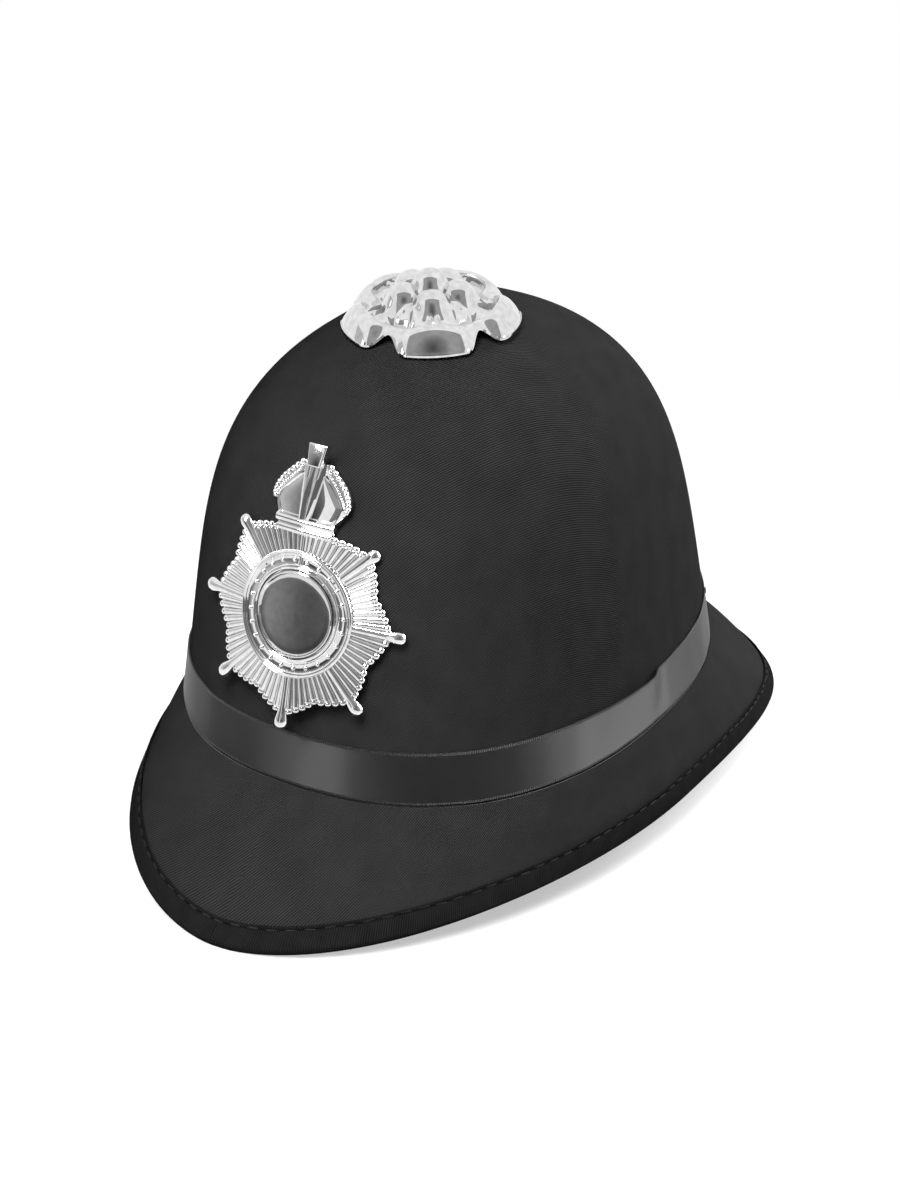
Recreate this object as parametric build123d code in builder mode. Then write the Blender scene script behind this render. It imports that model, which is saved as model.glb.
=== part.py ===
"""Custodian police helmet: twill over a moulded core, a satin band, a chrome badge and a rose boss.

Millimetres, +Z up. The front of the helmet faces -Y. The origin lies on the floor, under the
middle of the helmet's length and width. The crown has its own frame, tipped forward a little.
"""

import os
from math import atan2, cos, hypot, pi, radians, sin, sqrt, tan

from build123d import *

os.makedirs("parts", exist_ok=True)

# Crown: half sizes of its foot, outside the cover, and the shape of its dome
crown_half_length = 106.0
crown_half_width = 87.8
crown_height = 142.5
crown_base_height = 45.2
crown_pitch = 2.94
crown_drift = 6.1
crown_oval_power = 2.32
dome_power = 5.4
dome_round = 1.75
dome_taper_share = 0.22
dome_level_shares = (0, 0.12, 0.3, 0.46, 0.6, 0.72, 0.82, 0.9, 0.95, 0.98, 0.995)

# Plies of the crown, from the outside inwards
crown_cover_thickness = 0.8
crown_shell_thickness = 3.0
crown_lining_thickness = 0.6
ply_gap = 0.1

# Brim: how far its edge stands out from the crown's foot, and how its sides rise
brim_front_reach = 47.4
brim_back_reach = 59.0
brim_side_reach = 11.0
brim_side_rise = 14.2
brim_front_power = 1.91
brim_back_power = 2.57
brim_front_curl = 1.55
brim_back_curl = 4.2
brim_bulge_share = 0.03
brim_core_thickness = 2.0
brim_cover_thickness = 0.5

# Edge of the brim: folded tape round a wire
binding_thickness = 0.7
binding_leg = 7.8
binding_nose = 1.3
binding_nose_share = 0.7
binding_gap = 0.25
binding_flat_depth = 0.5
wire_diameter = 1.6
wire_sides = 8
stitch_length = 3.6
stitch_diameter = 0.6
stitch_pitch = 6.4
stitch_edge_gap = 1.3

# Satin band round the foot of the crown
band_width = 18.6
band_foot_gap = 1.2
band_thickness = 0.5
band_join_length = 15.0
band_join_overhang = 0.6
tack_diameter = 0.8
tack_length = 5.0
tack_edge_gap = 2.2
tack_angles = (132, 160, 200, 228)

# Sweatband inside the foot of the crown
sweatband_thickness = 1.2
sweatband_width = 28.0
sweatband_stitch_height = 3.0
sweatband_stitch_length = 4.0
sweatband_stitch_pitch = 8.0

# Badge: its place on the front of the crown, and the sizes of its star
badge_height = 62.9
badge_lean_run = 33.8
badge_wrap_radius = 109.0
star_seat_gap = 0.3
star_thickness = 1.3
star_rays = 80
star_points = 8
star_tip_radius = 38.3
star_shoulder_radius = 34.6
star_valley_radius = 31.0
star_probe_shares = (0.25, 0.5, 0.75, 1)

# Ring and disc in the middle of the star
ring_outer_radius = 21.8
ring_inner_radius = 15.2
ring_rise = 1.3
ring_rim_rise = 0.6
ring_rim_width = 1.1
pellet_diameter = 1.5
pellet_count = 24
disc_radius = 14.8
disc_rim_width = 1.0
disc_dish = 0.6

# Arched crown above the star, from its band to its finial, as heights from the star's middle
arch_thickness = 2.0
arch_band_low = 26.5
arch_band_high = 33.2
arch_band_half_width = 12.0
arch_wide_height = 40.5
arch_wide_half_width = 15.4
arch_shoulder_height = 50.2
arch_shoulder_half_width = 7.4
finial_low = 51.2
finial_high = 58.0
finial_half_width = 3.4
finial_waist_half_width = 2.5
arch_rib_width = 1.6
arch_rib_rise = 0.9
pearl_diameter = 1.7
pearl_count = 9

# Posts and push-on washers that hold the badge and the rose boss
post_diameter = 3.0
post_hole_clearance = 0.25
post_end_length = 3.0
post_seat_gap = 0.1
washer_diameter = 8.0
washer_thickness = 0.6
washer_seat_gap = 0.3
badge_post_heights = (-16.0, 17.0)

# Rose boss on the top of the crown: how its petals' spheres are laid
rose_forward = 12.8
rose_turn = 35
rose_wall = 1.2
rose_lobes = 5
rose_petal_sink = 7.2
rose_cup_radius = 28.5
rose_cup_rise = 13.0
petal_radius = 11.5
petal_ring = 19.4
bud_radius = 5.6
bud_ring = 10.8
bud_rise = 12.6
rose_heart_radius = 6.8
rose_heart_rise = 15.5
rose_post_petals = (0, 2, 3)

# Sampling of the ovals
oval_points = 24
brim_curve_steps = 4
depth_halvings = 24
seam_slope_step = 0.5
seam_steps = 720
brim_station_step = 12
brim_station_overrun = 12
wire_stations = 12

# Frames
crown_middle = (brim_front_reach - brim_back_reach) / 2
pitch = radians(crown_pitch)
crown_plane = Plane(
    origin=(0, crown_middle, crown_base_height),
    x_dir=(1, 0, 0),
    z_dir=(0, -sin(pitch), cos(pitch)),
)


def oval_radius(angle, half_width, half_length, power):
    """Distance from the middle to an oval, at an angle from the front."""
    across = abs(sin(angle) / half_width) ** power
    along = abs(cos(angle) / half_length) ** power
    return (across + along) ** (-1 / power)


def dome_half_sizes(height, inset):
    """Half width, half length and middle of the crown's oval, a ply's inset inside the cover."""
    share = height / (crown_height - inset)
    full = (1 - share**dome_power) ** (1 / dome_round) * (1 - dome_taper_share * share)
    middle = -crown_drift * share**1.5
    return crown_half_width * full - inset, crown_half_length * full - inset, middle


def dome_front(height, inset):
    """How far back the front of the crown lies at a height, in the crown's frame."""
    half_width, half_length, middle = dome_half_sizes(height, inset)
    return middle - half_length


def dome_section(height, inset):
    """Oval of the crown at a height, a ply's inset inside the cover."""
    half_width, half_length, middle = dome_half_sizes(height, inset)
    points = []
    for step in range(oval_points):
        angle = 2 * pi * step / oval_points
        reach = oval_radius(angle, half_width, half_length, crown_oval_power)
        points.append((reach * sin(angle), middle - reach * cos(angle)))
    with BuildSketch(crown_plane.offset(height)) as section:
        with BuildLine():
            Spline(*points, periodic=True)
        make_face()
    return section.sketch


def dome_loft(heights, inset, mode=Mode.ADD):
    """Solid between ovals of the crown at some heights."""
    loft([dome_section(height, inset) for height in heights], mode=mode)


def dome_heights(inset):
    return [share * (crown_height - inset) for share in dome_level_shares]


def dome_ply(outer_inset, inner_inset):
    """One ply of the dome, open at its foot."""
    dome_loft(dome_heights(outer_inset), outer_inset)
    dome_loft(dome_heights(inner_inset), inner_inset, Mode.SUBTRACT)


def ring_ply(heights, outer_inset, inner_inset):
    """A band that follows the side of the crown between two heights."""
    dome_loft(heights, outer_inset)
    dome_loft(heights, inner_inset, Mode.SUBTRACT)


# Insets of the plies from the outside of the crown cover
shell_inset = crown_cover_thickness + ply_gap
shell_inner_inset = shell_inset + crown_shell_thickness
lining_inset = shell_inner_inset + ply_gap
lining_inner_inset = lining_inset + crown_lining_thickness
sweatband_inset = lining_inner_inset + ply_gap
sweatband_inner_inset = sweatband_inset + sweatband_thickness

# Depths of the brim's plies under the top of its core
top_cover_high = -(ply_gap + brim_cover_thickness)
under_cover_high = brim_core_thickness + ply_gap
under_cover_low = under_cover_high + brim_cover_thickness
binding_high = top_cover_high - binding_gap - binding_thickness
binding_low = under_cover_low + binding_gap + binding_thickness
brim_mid_depth = brim_core_thickness / 2

# The edge is set so that the tape's lowest corner is cut flat by the floor
front_slope = atan2(crown_base_height - crown_half_length * tan(pitch), brim_front_reach)
edge_lift = binding_low * cos(front_slope) - binding_nose * sin(front_slope) - binding_flat_depth


def radial_plane(angle):
    """Upright plane through the crown's middle, X outwards and Y up."""
    return Plane(
        origin=(0, crown_middle, 0),
        x_dir=(sin(angle), -cos(angle), 0),
        z_dir=(-cos(angle), -sin(angle), 0),
    )


def seat_height(angle, reach):
    """Height of the crown's tipped foot in the radial plane, a ply gap under its plies."""
    return crown_base_height - reach * cos(angle) * tan(pitch) - ply_gap


def brim_run(angle):
    """Foot of the brim in the radial plane, the direction of its run and the run's length."""
    foot = oval_radius(angle, crown_half_width, crown_half_length, crown_oval_power) + ply_gap
    foot_z = seat_height(angle, foot)
    at_front = cos(angle) > 0
    reach = crown_half_length + (brim_front_reach if at_front else brim_back_reach)
    power = brim_front_power if at_front else brim_back_power
    curl = brim_front_curl if at_front else brim_back_curl
    side = crown_half_width + brim_side_reach
    edge = oval_radius(angle, side, reach, power)
    edge_z = edge_lift + brim_side_rise * abs(edge * sin(angle) / side) ** (power * curl / 2)
    length = hypot(edge - foot, edge_z - foot_z)
    along = ((edge - foot) / length, (edge_z - foot_z) / length)
    return (foot, foot_z), along, length - binding_nose


def brim_point(angle, distance, depth):
    """Point at a distance along the brim's run and a depth under the top of its core."""
    (foot, foot_z), (across, down), length = brim_run(angle)
    share = distance / length
    bulge = 4 * brim_bulge_share * length * share * (1 - share)
    offset = bulge - depth
    return (
        foot + across * distance - down * offset,
        foot_z + down * distance + across * offset,
    )


def brim_curve(angle, start, end, depth):
    """Points along the brim's run at one depth."""
    step = (end - start) / brim_curve_steps
    return [brim_point(angle, start + step * i, depth) for i in range(brim_curve_steps + 1)]


def station_angles():
    last = 180 + brim_station_overrun
    angle = -brim_station_overrun
    while angle <= last:
        yield radians(angle)
        angle += brim_station_step


def join_halves():
    """Keep the right half of what was lofted and mirror it to the left."""
    split(bisect_by=Plane.YZ, keep=Keep.TOP)
    mirror(about=Plane.YZ)


def cover_section(angle, high, low):
    """Section of a cover that runs from the crown's foot to near the edge."""
    end = brim_run(angle)[2]
    upper = brim_curve(angle, 0, end, high)
    lower = brim_curve(angle, 0, end, low)
    with BuildSketch(radial_plane(angle)) as section:
        with BuildLine():
            Spline(*upper)
            Line(upper[-1], lower[-1])
            Spline(*reversed(lower))
            Line(lower[0], upper[0])
        make_face()
    return section.sketch


def brim_ply(high, low):
    loft([cover_section(angle, high, low) for angle in station_angles()])
    join_halves()


def finish(part, label):
    part.label = label
    export_step(part, f"parts/{label}.step")


# The badge leans as the front of the dome does, from the badge's middle to a run above it
badge_back_run = dome_front(badge_height + badge_lean_run, 0) - dome_front(badge_height, 0)
badge_local_lean = atan2(badge_back_run, badge_lean_run)
badge_pitch = badge_local_lean - pitch


def cover_depth(across, height, inset):
    """Depth of a ply's face behind the badge's plane, where that plane touches the cover."""
    level = badge_height + height * cos(badge_local_lean)
    half_width, half_length, middle = dome_half_sizes(level, inset)
    forward = (1 - abs(across / half_width) ** crown_oval_power) ** (1 / crown_oval_power)
    plane_front = dome_front(badge_height, 0) + height * sin(badge_local_lean)
    return (middle - half_length * forward - plane_front) * cos(badge_local_lean)


def star_back_depth(across):
    """Depth of the star's wrapped back behind the badge's front plane."""
    back_radius = badge_wrap_radius - star_thickness
    return badge_wrap_radius - sqrt(back_radius**2 - across**2)


# The star stands off the crown so far that its back clears the cover all over
star_needs = []
for ray in range(star_rays):
    angle = 2 * pi * ray / star_rays
    for share in star_probe_shares:
        across = share * star_tip_radius * sin(angle)
        height = -share * star_tip_radius * cos(angle)
        star_needs.append(star_back_depth(across) - cover_depth(across, height, 0))
badge_stand = max(star_needs) + star_seat_gap

badge_origin = crown_plane.from_local_coords(
    Vector(0, dome_front(badge_height, 0), badge_height)
)
badge_normal = Vector(0, -cos(badge_pitch), sin(badge_pitch))
badge_plane = Plane(
    origin=badge_origin + badge_normal * badge_stand,
    x_dir=(1, 0, 0),
    z_dir=badge_normal,
)


def badge_depth(height, inset):
    """Depth of a ply's face behind the badge's front plane, on the badge's middle line."""
    return badge_stand + cover_depth(0, height, inset)


rose_plane = crown_plane.offset(crown_height)
flat_top = dome_level_shares[-1]


def badge_spot(height, radius, depth, inner_radius=0):
    """Round spot on one of the badge's posts, at a depth behind its front plane."""
    with BuildSketch(badge_plane.offset(-depth)) as spot:
        with Locations((0, height)):
            Circle(radius)
            if inner_radius:
                Circle(inner_radius, mode=Mode.SUBTRACT)
    return spot.sketch


def rose_spot(place, radius, depth, inner_radius=0):
    """Round spot on one of the boss's posts, at a depth under the top of the crown."""
    with BuildSketch(rose_plane.offset(-depth)) as spot:
        with Locations(place):
            Circle(radius)
            if inner_radius:
                Circle(inner_radius, mode=Mode.SUBTRACT)
    return spot.sketch


rose_post_places = []
for petal in rose_post_petals:
    turn = 2 * pi * petal / rose_lobes + radians(rose_turn)
    across, along = petal_ring * sin(turn), -petal_ring * cos(turn)
    rose_post_places.append((across, along - rose_forward))
rose_post_top = petal_radius - rose_wall - rose_petal_sink - post_seat_gap


def dome_depth(place, inset):
    """Depth of a ply's face under the top of the crown, at a place beside the crown's axis."""
    low, high = 0, flat_top * (crown_height - inset)
    for halving in range(depth_halvings):
        height = (low + high) / 2
        half_width, half_length, middle = dome_half_sizes(height, inset)
        angle = atan2(place[0], middle - place[1])
        reach = oval_radius(angle, half_width, half_length, crown_oval_power)
        if hypot(place[0], place[1] - middle) < reach:
            low = height
        else:
            high = height
    return crown_height - low


def washer_seat(place):
    """Depth at which a washer clears the lining all round its post."""
    outwards = hypot(*place)
    share = (outwards + washer_diameter / 2) / outwards
    rim = (place[0] * share, place[1] * share)
    return dome_depth(rim, lining_inner_inset) + washer_seat_gap


def badge_washer_seat(height):
    """Depth at which a washer clears the lining above and below its post."""
    rims = (height - washer_diameter / 2, height + washer_diameter / 2)
    return max(badge_depth(rim, lining_inner_inset) for rim in rims) + washer_seat_gap


def drill():
    """Holes for the posts through the front and the top of the crown."""
    hole_radius = post_diameter / 2 + post_hole_clearance
    for height in badge_post_heights:
        extrude(badge_spot(height, hole_radius, 0), amount=-crown_half_width / 2, mode=Mode.SUBTRACT)
    for place in rose_post_places:
        extrude(rose_spot(place, hole_radius, 0), amount=-crown_half_width / 2, mode=Mode.SUBTRACT)


# Crown cover, shell and lining, each drilled for the badge's and the boss's posts
with BuildPart() as crown_cover:
    dome_ply(0, crown_cover_thickness)
    drill()
finish(crown_cover.part, "crown_cover")

with BuildPart() as crown_shell:
    dome_ply(shell_inset, shell_inner_inset)
    drill()
finish(crown_shell.part, "crown_shell")

with BuildPart() as crown_lining:
    dome_ply(lining_inset, lining_inner_inset)
    drill()
finish(crown_lining.part, "crown_lining")

# Brim core, with a shelf at its inner edge that the crown's plies stand on
with BuildPart() as brim_core:
    for angle in station_angles():
        (foot, _), _, length = brim_run(angle)
        end = length - wire_diameter - 2 * ply_gap
        upper = brim_curve(angle, 0, end, 0)
        lower = brim_curve(angle, 0, end, brim_core_thickness)
        shelf = foot - shell_inner_inset
        shelf_high = (shelf, seat_height(angle, shelf))
        shelf_low = (shelf, seat_height(angle, shelf) - brim_core_thickness)
        with BuildSketch(radial_plane(angle)):
            with BuildLine():
                Line(shelf_high, upper[0])
                Spline(*upper)
                Line(upper[-1], lower[-1])
                Spline(*reversed(lower))
                Line(lower[0], shelf_low)
                Line(shelf_low, shelf_high)
            make_face()
    loft()
    join_halves()
finish(brim_core.part, "brim_core")

with BuildPart() as brim_top_cover:
    brim_ply(top_cover_high, -ply_gap)
finish(brim_top_cover.part, "brim_top_cover")

with BuildPart() as brim_under_cover:
    brim_ply(under_cover_high, under_cover_low)
finish(brim_under_cover.part, "brim_under_cover")

with BuildPart() as brim_wire:
    wire_radius = wire_diameter / 2
    for station in range(wire_stations + 1):
        angle = pi * station / wire_stations
        across, up = brim_point(angle, brim_run(angle)[2] - wire_radius - ply_gap, brim_mid_depth)
        turns = [2 * pi * side / wire_sides for side in range(wire_sides)]
        corners = [(across + wire_radius * cos(turn), up + wire_radius * sin(turn)) for turn in turns]
        with BuildSketch(radial_plane(angle)):
            with BuildLine():
                Polyline(*corners, close=True)
            make_face()
    loft()
    mirror(about=Plane.YZ)
finish(brim_wire.part, "brim_wire")

with BuildPart() as brim_binding:
    shoulder = binding_nose * binding_nose_share
    tuck = binding_thickness
    for angle in station_angles():
        length = brim_run(angle)[2]
        section = [
            (length - binding_leg, binding_high),
            (length, binding_high),
            (length + shoulder, binding_high + tuck),
            (length + binding_nose, brim_mid_depth),
            (length + shoulder, binding_low - tuck),
            (length, binding_low),
            (length - binding_leg, binding_low),
            (length - binding_leg, binding_low - binding_thickness),
            (length + ply_gap, binding_low - binding_thickness),
            (length + ply_gap, binding_high + binding_thickness),
            (length - binding_leg, binding_high + binding_thickness),
        ]
        corners = [brim_point(angle, distance, depth) for distance, depth in section]
        with BuildSketch(radial_plane(angle)):
            with BuildLine():
                Polyline(*corners, close=True)
            make_face()
    loft()
    join_halves()
    split(bisect_by=Plane.XY, keep=Keep.TOP)
finish(brim_binding.part, "brim_binding")


def radial_point(angle, point):
    """Place in the helmet of a point in a radial plane."""
    return radial_plane(angle).from_local_coords(Vector(point[0], point[1], 0))


def edge_angles(pitch_length, place):
    """Angles at which a seam of even stitches comes, all round."""
    points = [place(2 * pi * i / seam_steps) for i in range(seam_steps + 1)]
    runs = [0]
    for before, after in zip(points, points[1:]):
        runs.append(runs[-1] + (after - before).length)
    count = round(runs[-1] / pitch_length)
    found = 0
    for i, run in enumerate(runs[:-1]):
        if run >= found * runs[-1] / count:
            yield 2 * pi * i / seam_steps
            found += 1


def lay_stitches(angles, place, across, length, diameter):
    """Short round stitches along a seam, lying on the cloth on its outer side."""
    step = radians(seam_slope_step)
    for angle in angles:
        run = place(angle + step) - place(angle - step)
        normal = across(angle).cross(run).normalized()
        start = place(angle) + normal * (diameter / 2 + ply_gap) - run.normalized() * length / 2
        with BuildSketch(Plane(origin=start, z_dir=run)) as end:
            Circle(diameter / 2)
        extrude(end.sketch, amount=length)


def binding_seam(angle):
    distance = brim_run(angle)[2] - binding_leg + stitch_edge_gap
    return radial_point(angle, brim_point(angle, distance, binding_high))


def binding_across(angle):
    return radial_point(angle, brim_run(angle)[1]) - radial_point(angle, (0, 0))


def crown_seam(angle, height, inset):
    """Point on a face of the crown at an angle from its front and a height."""
    half_width, half_length, middle = dome_half_sizes(height, inset)
    reach = oval_radius(angle, half_width, half_length, crown_oval_power)
    place = Vector(reach * sin(angle), middle - reach * cos(angle), height)
    return crown_plane.from_local_coords(place)


with BuildPart() as binding_stitches:
    seam_angles = edge_angles(stitch_pitch, binding_seam)
    lay_stitches(seam_angles, binding_seam, binding_across, stitch_length, stitch_diameter)
finish(binding_stitches.part, "binding_stitches")

# Satin band, its join at the back and the tacks that hold it
band_heights = [band_foot_gap, band_foot_gap + band_width / 2, band_foot_gap + band_width]
band_outset = ply_gap + band_thickness
with BuildPart() as hat_band:
    ring_ply(band_heights, -band_outset, -ply_gap)
finish(hat_band.part, "hat_band")

join_low = band_foot_gap - band_join_overhang
join_high = band_foot_gap + band_width + band_join_overhang
join_heights = [join_low, (join_low + join_high) / 2, join_high]
with BuildPart() as hat_band_join:
    ring_ply(join_heights, -(band_outset + ply_gap + band_thickness), -(band_outset + ply_gap))
    with BuildSketch(crown_plane):
        with Locations((0, crown_half_length)):
            Rectangle(band_join_length, crown_half_length)
    extrude(amount=crown_height, mode=Mode.INTERSECT)
finish(hat_band_join.part, "hat_band_join")


def tack_place(angle):
    return crown_seam(angle, band_foot_gap + band_width - tack_edge_gap, -band_outset)


with BuildPart() as band_tacks:
    tack_places = [radians(angle) for angle in tack_angles]
    lay_stitches(tack_places, tack_place, lambda angle: -crown_plane.z_dir, tack_length, tack_diameter)
finish(band_tacks.part, "band_tacks")

# Sweatband and its stitches
sweatband_heights = [0, sweatband_width / 2, sweatband_width]
with BuildPart() as sweatband:
    ring_ply(sweatband_heights, sweatband_inset, sweatband_inner_inset)
finish(sweatband.part, "sweatband")


def sweatband_seam(angle):
    return crown_seam(angle, sweatband_stitch_height, sweatband_inner_inset)


with BuildPart() as sweatband_stitches:
    lay_stitches(
        edge_angles(sweatband_stitch_pitch, sweatband_seam),
        sweatband_seam,
        lambda angle: crown_plane.z_dir,
        sweatband_stitch_length,
        stitch_diameter,
    )
finish(sweatband_stitches.part, "sweatband_stitches")

# Badge: every piece of it is wrapped round an upright cylinder behind the star
wrap_plane = Plane(
    origin=badge_plane.origin - badge_plane.z_dir * badge_wrap_radius,
    x_dir=(1, 0, 0),
    z_dir=badge_plane.y_dir,
)


def wrap(front, back, mode):
    """Curved slab from a front height to a back height, measured from the star's front face."""
    with BuildSketch(wrap_plane) as slab:
        Circle(badge_wrap_radius + front)
        if back is not None:
            Circle(badge_wrap_radius + back, mode=Mode.SUBTRACT)
    extrude(slab.sketch, amount=2 * finial_high, both=True, mode=mode)


def star_radius(ray):
    """Length of one ray: long at the points, short in the valleys between them."""
    rays_per_point = star_rays // star_points
    from_point = abs((ray + rays_per_point // 2) % rays_per_point - rays_per_point // 2)
    if from_point == 0:
        return star_tip_radius
    fall = (star_shoulder_radius - star_valley_radius) / (rays_per_point // 2 - 1)
    return star_shoulder_radius - fall * (from_point - 1)


with BuildPart() as badge_star:
    outline = []
    half_ray = pi / star_rays
    for ray in range(star_rays):
        middle_angle = 2 * pi * ray / star_rays
        radius = star_radius(ray)
        for angle in (middle_angle - half_ray, middle_angle + half_ray):
            outline.append((radius * sin(angle), -radius * cos(angle)))
    with BuildSketch(badge_plane):
        with BuildLine():
            Polyline(*outline, close=True)
        make_face()
    extrude(amount=badge_stand + star_tip_radius / 2, both=True)
    wrap(0, -star_thickness, Mode.INTERSECT)
finish(badge_star.part, "badge_star")

ring_front = ring_rise + ring_rim_rise
with BuildPart() as badge_ring:
    with BuildSketch(badge_plane.offset(ring_front)):
        Circle(ring_outer_radius)
        Circle(ring_inner_radius, mode=Mode.SUBTRACT)
    extrude(amount=-2 * ring_front)
    with BuildSketch(badge_plane.offset(ring_front)):
        Circle(ring_outer_radius - ring_rim_width)
        Circle(ring_inner_radius + ring_rim_width, mode=Mode.SUBTRACT)
    extrude(amount=-ring_rim_rise, mode=Mode.SUBTRACT)
    with BuildSketch(badge_plane.offset(ring_rise)):
        with PolarLocations((ring_outer_radius + ring_inner_radius) / 2, pellet_count):
            Circle(pellet_diameter / 2)
    extrude(amount=ring_rim_rise)
    wrap(ply_gap, None, Mode.SUBTRACT)
finish(badge_ring.part, "badge_ring")

with BuildPart() as badge_disc:
    with BuildSketch(badge_plane.offset(ring_front)):
        Circle(disc_radius)
    extrude(amount=-2 * ring_front)
    with BuildSketch(badge_plane.offset(ring_front)):
        Circle(disc_radius - disc_rim_width)
    extrude(amount=-disc_dish, mode=Mode.SUBTRACT)
    wrap(ply_gap, None, Mode.SUBTRACT)
finish(badge_disc.part, "badge_disc")


def arch_side(side):
    """Outline of one side of the arched crown, from its band up to its finial."""
    return [
        (side * arch_band_half_width, arch_band_low),
        (side * arch_band_half_width, arch_band_high),
        (side * arch_wide_half_width, arch_wide_height),
        (side * arch_shoulder_half_width, arch_shoulder_height),
        (side * finial_waist_half_width, finial_low),
        (side * finial_half_width, finial_high),
    ]


def arch_bow(side):
    """The bowed outer arch of the crown, through its widest point."""
    points = arch_side(side)
    return Spline(points[1], points[2], points[3], points[4])


with BuildPart() as badge_crown:
    with BuildSketch(badge_plane):
        with BuildLine():
            for side in (1, -1):
                points = arch_side(side)
                Line(points[0], points[1])
                arch_bow(side)
                Line(points[4], points[5])
            Line(arch_side(1)[0], arch_side(-1)[0])
            Line(arch_side(1)[5], arch_side(-1)[5])
        make_face()
    extrude(amount=badge_stand + star_tip_radius / 2, both=True)
    wrap(arch_thickness + ply_gap, ply_gap, Mode.INTERSECT)
    with BuildSketch(badge_plane.offset(arch_thickness)):
        with Locations((0, (arch_band_low + arch_band_high) / 2)):
            Rectangle(2 * arch_band_half_width, arch_band_high - arch_band_low)
        for side in (1, -1):
            rib_foot = (side * arch_rib_width / 2, arch_band_high)
            rib_head = (side * finial_waist_half_width, finial_low)
            with BuildLine():
                Polyline(rib_foot, rib_head, (0, finial_low), (0, arch_band_high), close=True)
            make_face()
    extrude(amount=arch_rib_rise)
    bow = arch_bow(1)
    with BuildSketch(badge_plane.offset(2 * ply_gap)):
        for i in range(pearl_count):
            place = bow @ ((i + 1) / (pearl_count + 1))
            across = place.X - pearl_diameter / 2
            with Locations((across, place.Y), (-across, place.Y)):
                Circle(pearl_diameter / 2)
    extrude(amount=arch_thickness + arch_rib_rise / 2)
finish(badge_crown.part, "badge_crown")

# Posts stand behind the star and pass through the crown to their washers
post_seat = star_thickness + post_seat_gap
with BuildPart() as badge_posts:
    for height in badge_post_heights:
        depth = badge_washer_seat(height) + washer_thickness + post_end_length
        extrude(badge_spot(height, post_diameter / 2, post_seat), amount=-(depth - post_seat))
finish(badge_posts.part, "badge_posts")

with BuildPart() as badge_washers:
    for height in badge_post_heights:
        depth = badge_washer_seat(height)
        bore = post_diameter / 2 + post_seat_gap
        extrude(badge_spot(height, washer_diameter / 2, depth, bore), amount=-washer_thickness)
finish(badge_washers.part, "badge_washers")

# Rose boss: a low cup, five petals, a round bud over each of them and a round heart
rose_base = rose_plane.offset(-rose_petal_sink)
rose_tiers = ((petal_radius, petal_ring, 0), (bud_radius, bud_ring, bud_rise))
cup_sphere_radius = (rose_cup_radius**2 + rose_cup_rise**2) / (2 * rose_cup_rise)


def rose_form(inset, mode=Mode.ADD):
    """Cup, petals, buds and heart of the boss, or its hollow, a wall's inset inside them."""
    with Locations(rose_base):
        with Locations((0, -rose_forward, rose_cup_rise - cup_sphere_radius)):
            Sphere(cup_sphere_radius - inset, mode=mode)
        for radius, ring, rise in rose_tiers:
            with Locations((0, -rose_forward, rise)):
                with PolarLocations(ring, rose_lobes, start_angle=rose_turn - 90):
                    Sphere(radius - inset, mode=mode)
        with Locations((0, -rose_forward, rose_heart_rise)):
            Sphere(rose_heart_radius - inset, mode=mode)


with BuildPart() as rose_boss:
    rose_form(0)
    rose_form(rose_wall, Mode.SUBTRACT)
    dome_loft(dome_heights(-ply_gap), -ply_gap, Mode.SUBTRACT)
finish(rose_boss.part, "rose_boss")

with BuildPart() as rose_posts:
    for place in rose_post_places:
        depth = washer_seat(place) + washer_thickness + post_end_length
        extrude(rose_spot(place, post_diameter / 2, -rose_post_top), amount=-(depth + rose_post_top))
finish(rose_posts.part, "rose_posts")

with BuildPart() as rose_washers:
    for place in rose_post_places:
        bore = post_diameter / 2 + post_seat_gap
        spot = rose_spot(place, washer_diameter / 2, washer_seat(place), bore)
        extrude(spot, amount=-washer_thickness)
finish(rose_washers.part, "rose_washers")
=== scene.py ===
"""Looks of a custodian police helmet: twill crown and brim, satin band, chrome badge and rose.

Metres, +Z up, the front towards -Y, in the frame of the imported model. Shapes that follow the
crown and the brim are worked out from the helmet's driving sizes, as the solids are.
"""
import random
from math import atan2, cos, exp, hypot, pi, radians, sin, sqrt, tan

import bmesh
import bpy
from mathutils import Matrix, Vector


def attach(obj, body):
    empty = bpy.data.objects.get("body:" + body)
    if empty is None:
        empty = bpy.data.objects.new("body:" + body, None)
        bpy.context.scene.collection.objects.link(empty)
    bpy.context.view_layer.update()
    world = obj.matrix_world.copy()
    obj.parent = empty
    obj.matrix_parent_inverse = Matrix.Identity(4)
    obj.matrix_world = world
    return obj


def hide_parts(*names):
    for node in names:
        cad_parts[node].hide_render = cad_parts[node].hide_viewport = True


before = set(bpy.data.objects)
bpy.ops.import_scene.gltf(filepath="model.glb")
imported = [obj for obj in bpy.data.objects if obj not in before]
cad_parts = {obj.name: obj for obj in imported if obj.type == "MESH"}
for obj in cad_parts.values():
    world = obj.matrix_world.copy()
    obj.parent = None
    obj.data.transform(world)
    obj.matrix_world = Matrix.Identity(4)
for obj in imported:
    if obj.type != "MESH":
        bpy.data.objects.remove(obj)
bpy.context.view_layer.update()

MM = 0.001
FULL_TURN = 2 * pi

# Crown: half sizes of its foot outside the cover, and the shape of its dome
crown_half_length = 106 * MM
crown_half_width = 87.8 * MM
crown_height = 142.5 * MM
crown_base_height = 45.2 * MM
crown_pitch = radians(2.94)
crown_drift = 6.1 * MM
crown_oval_power = 2.32
dome_power = 5.4
dome_round = 1.75
dome_taper_share = 0.22

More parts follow.
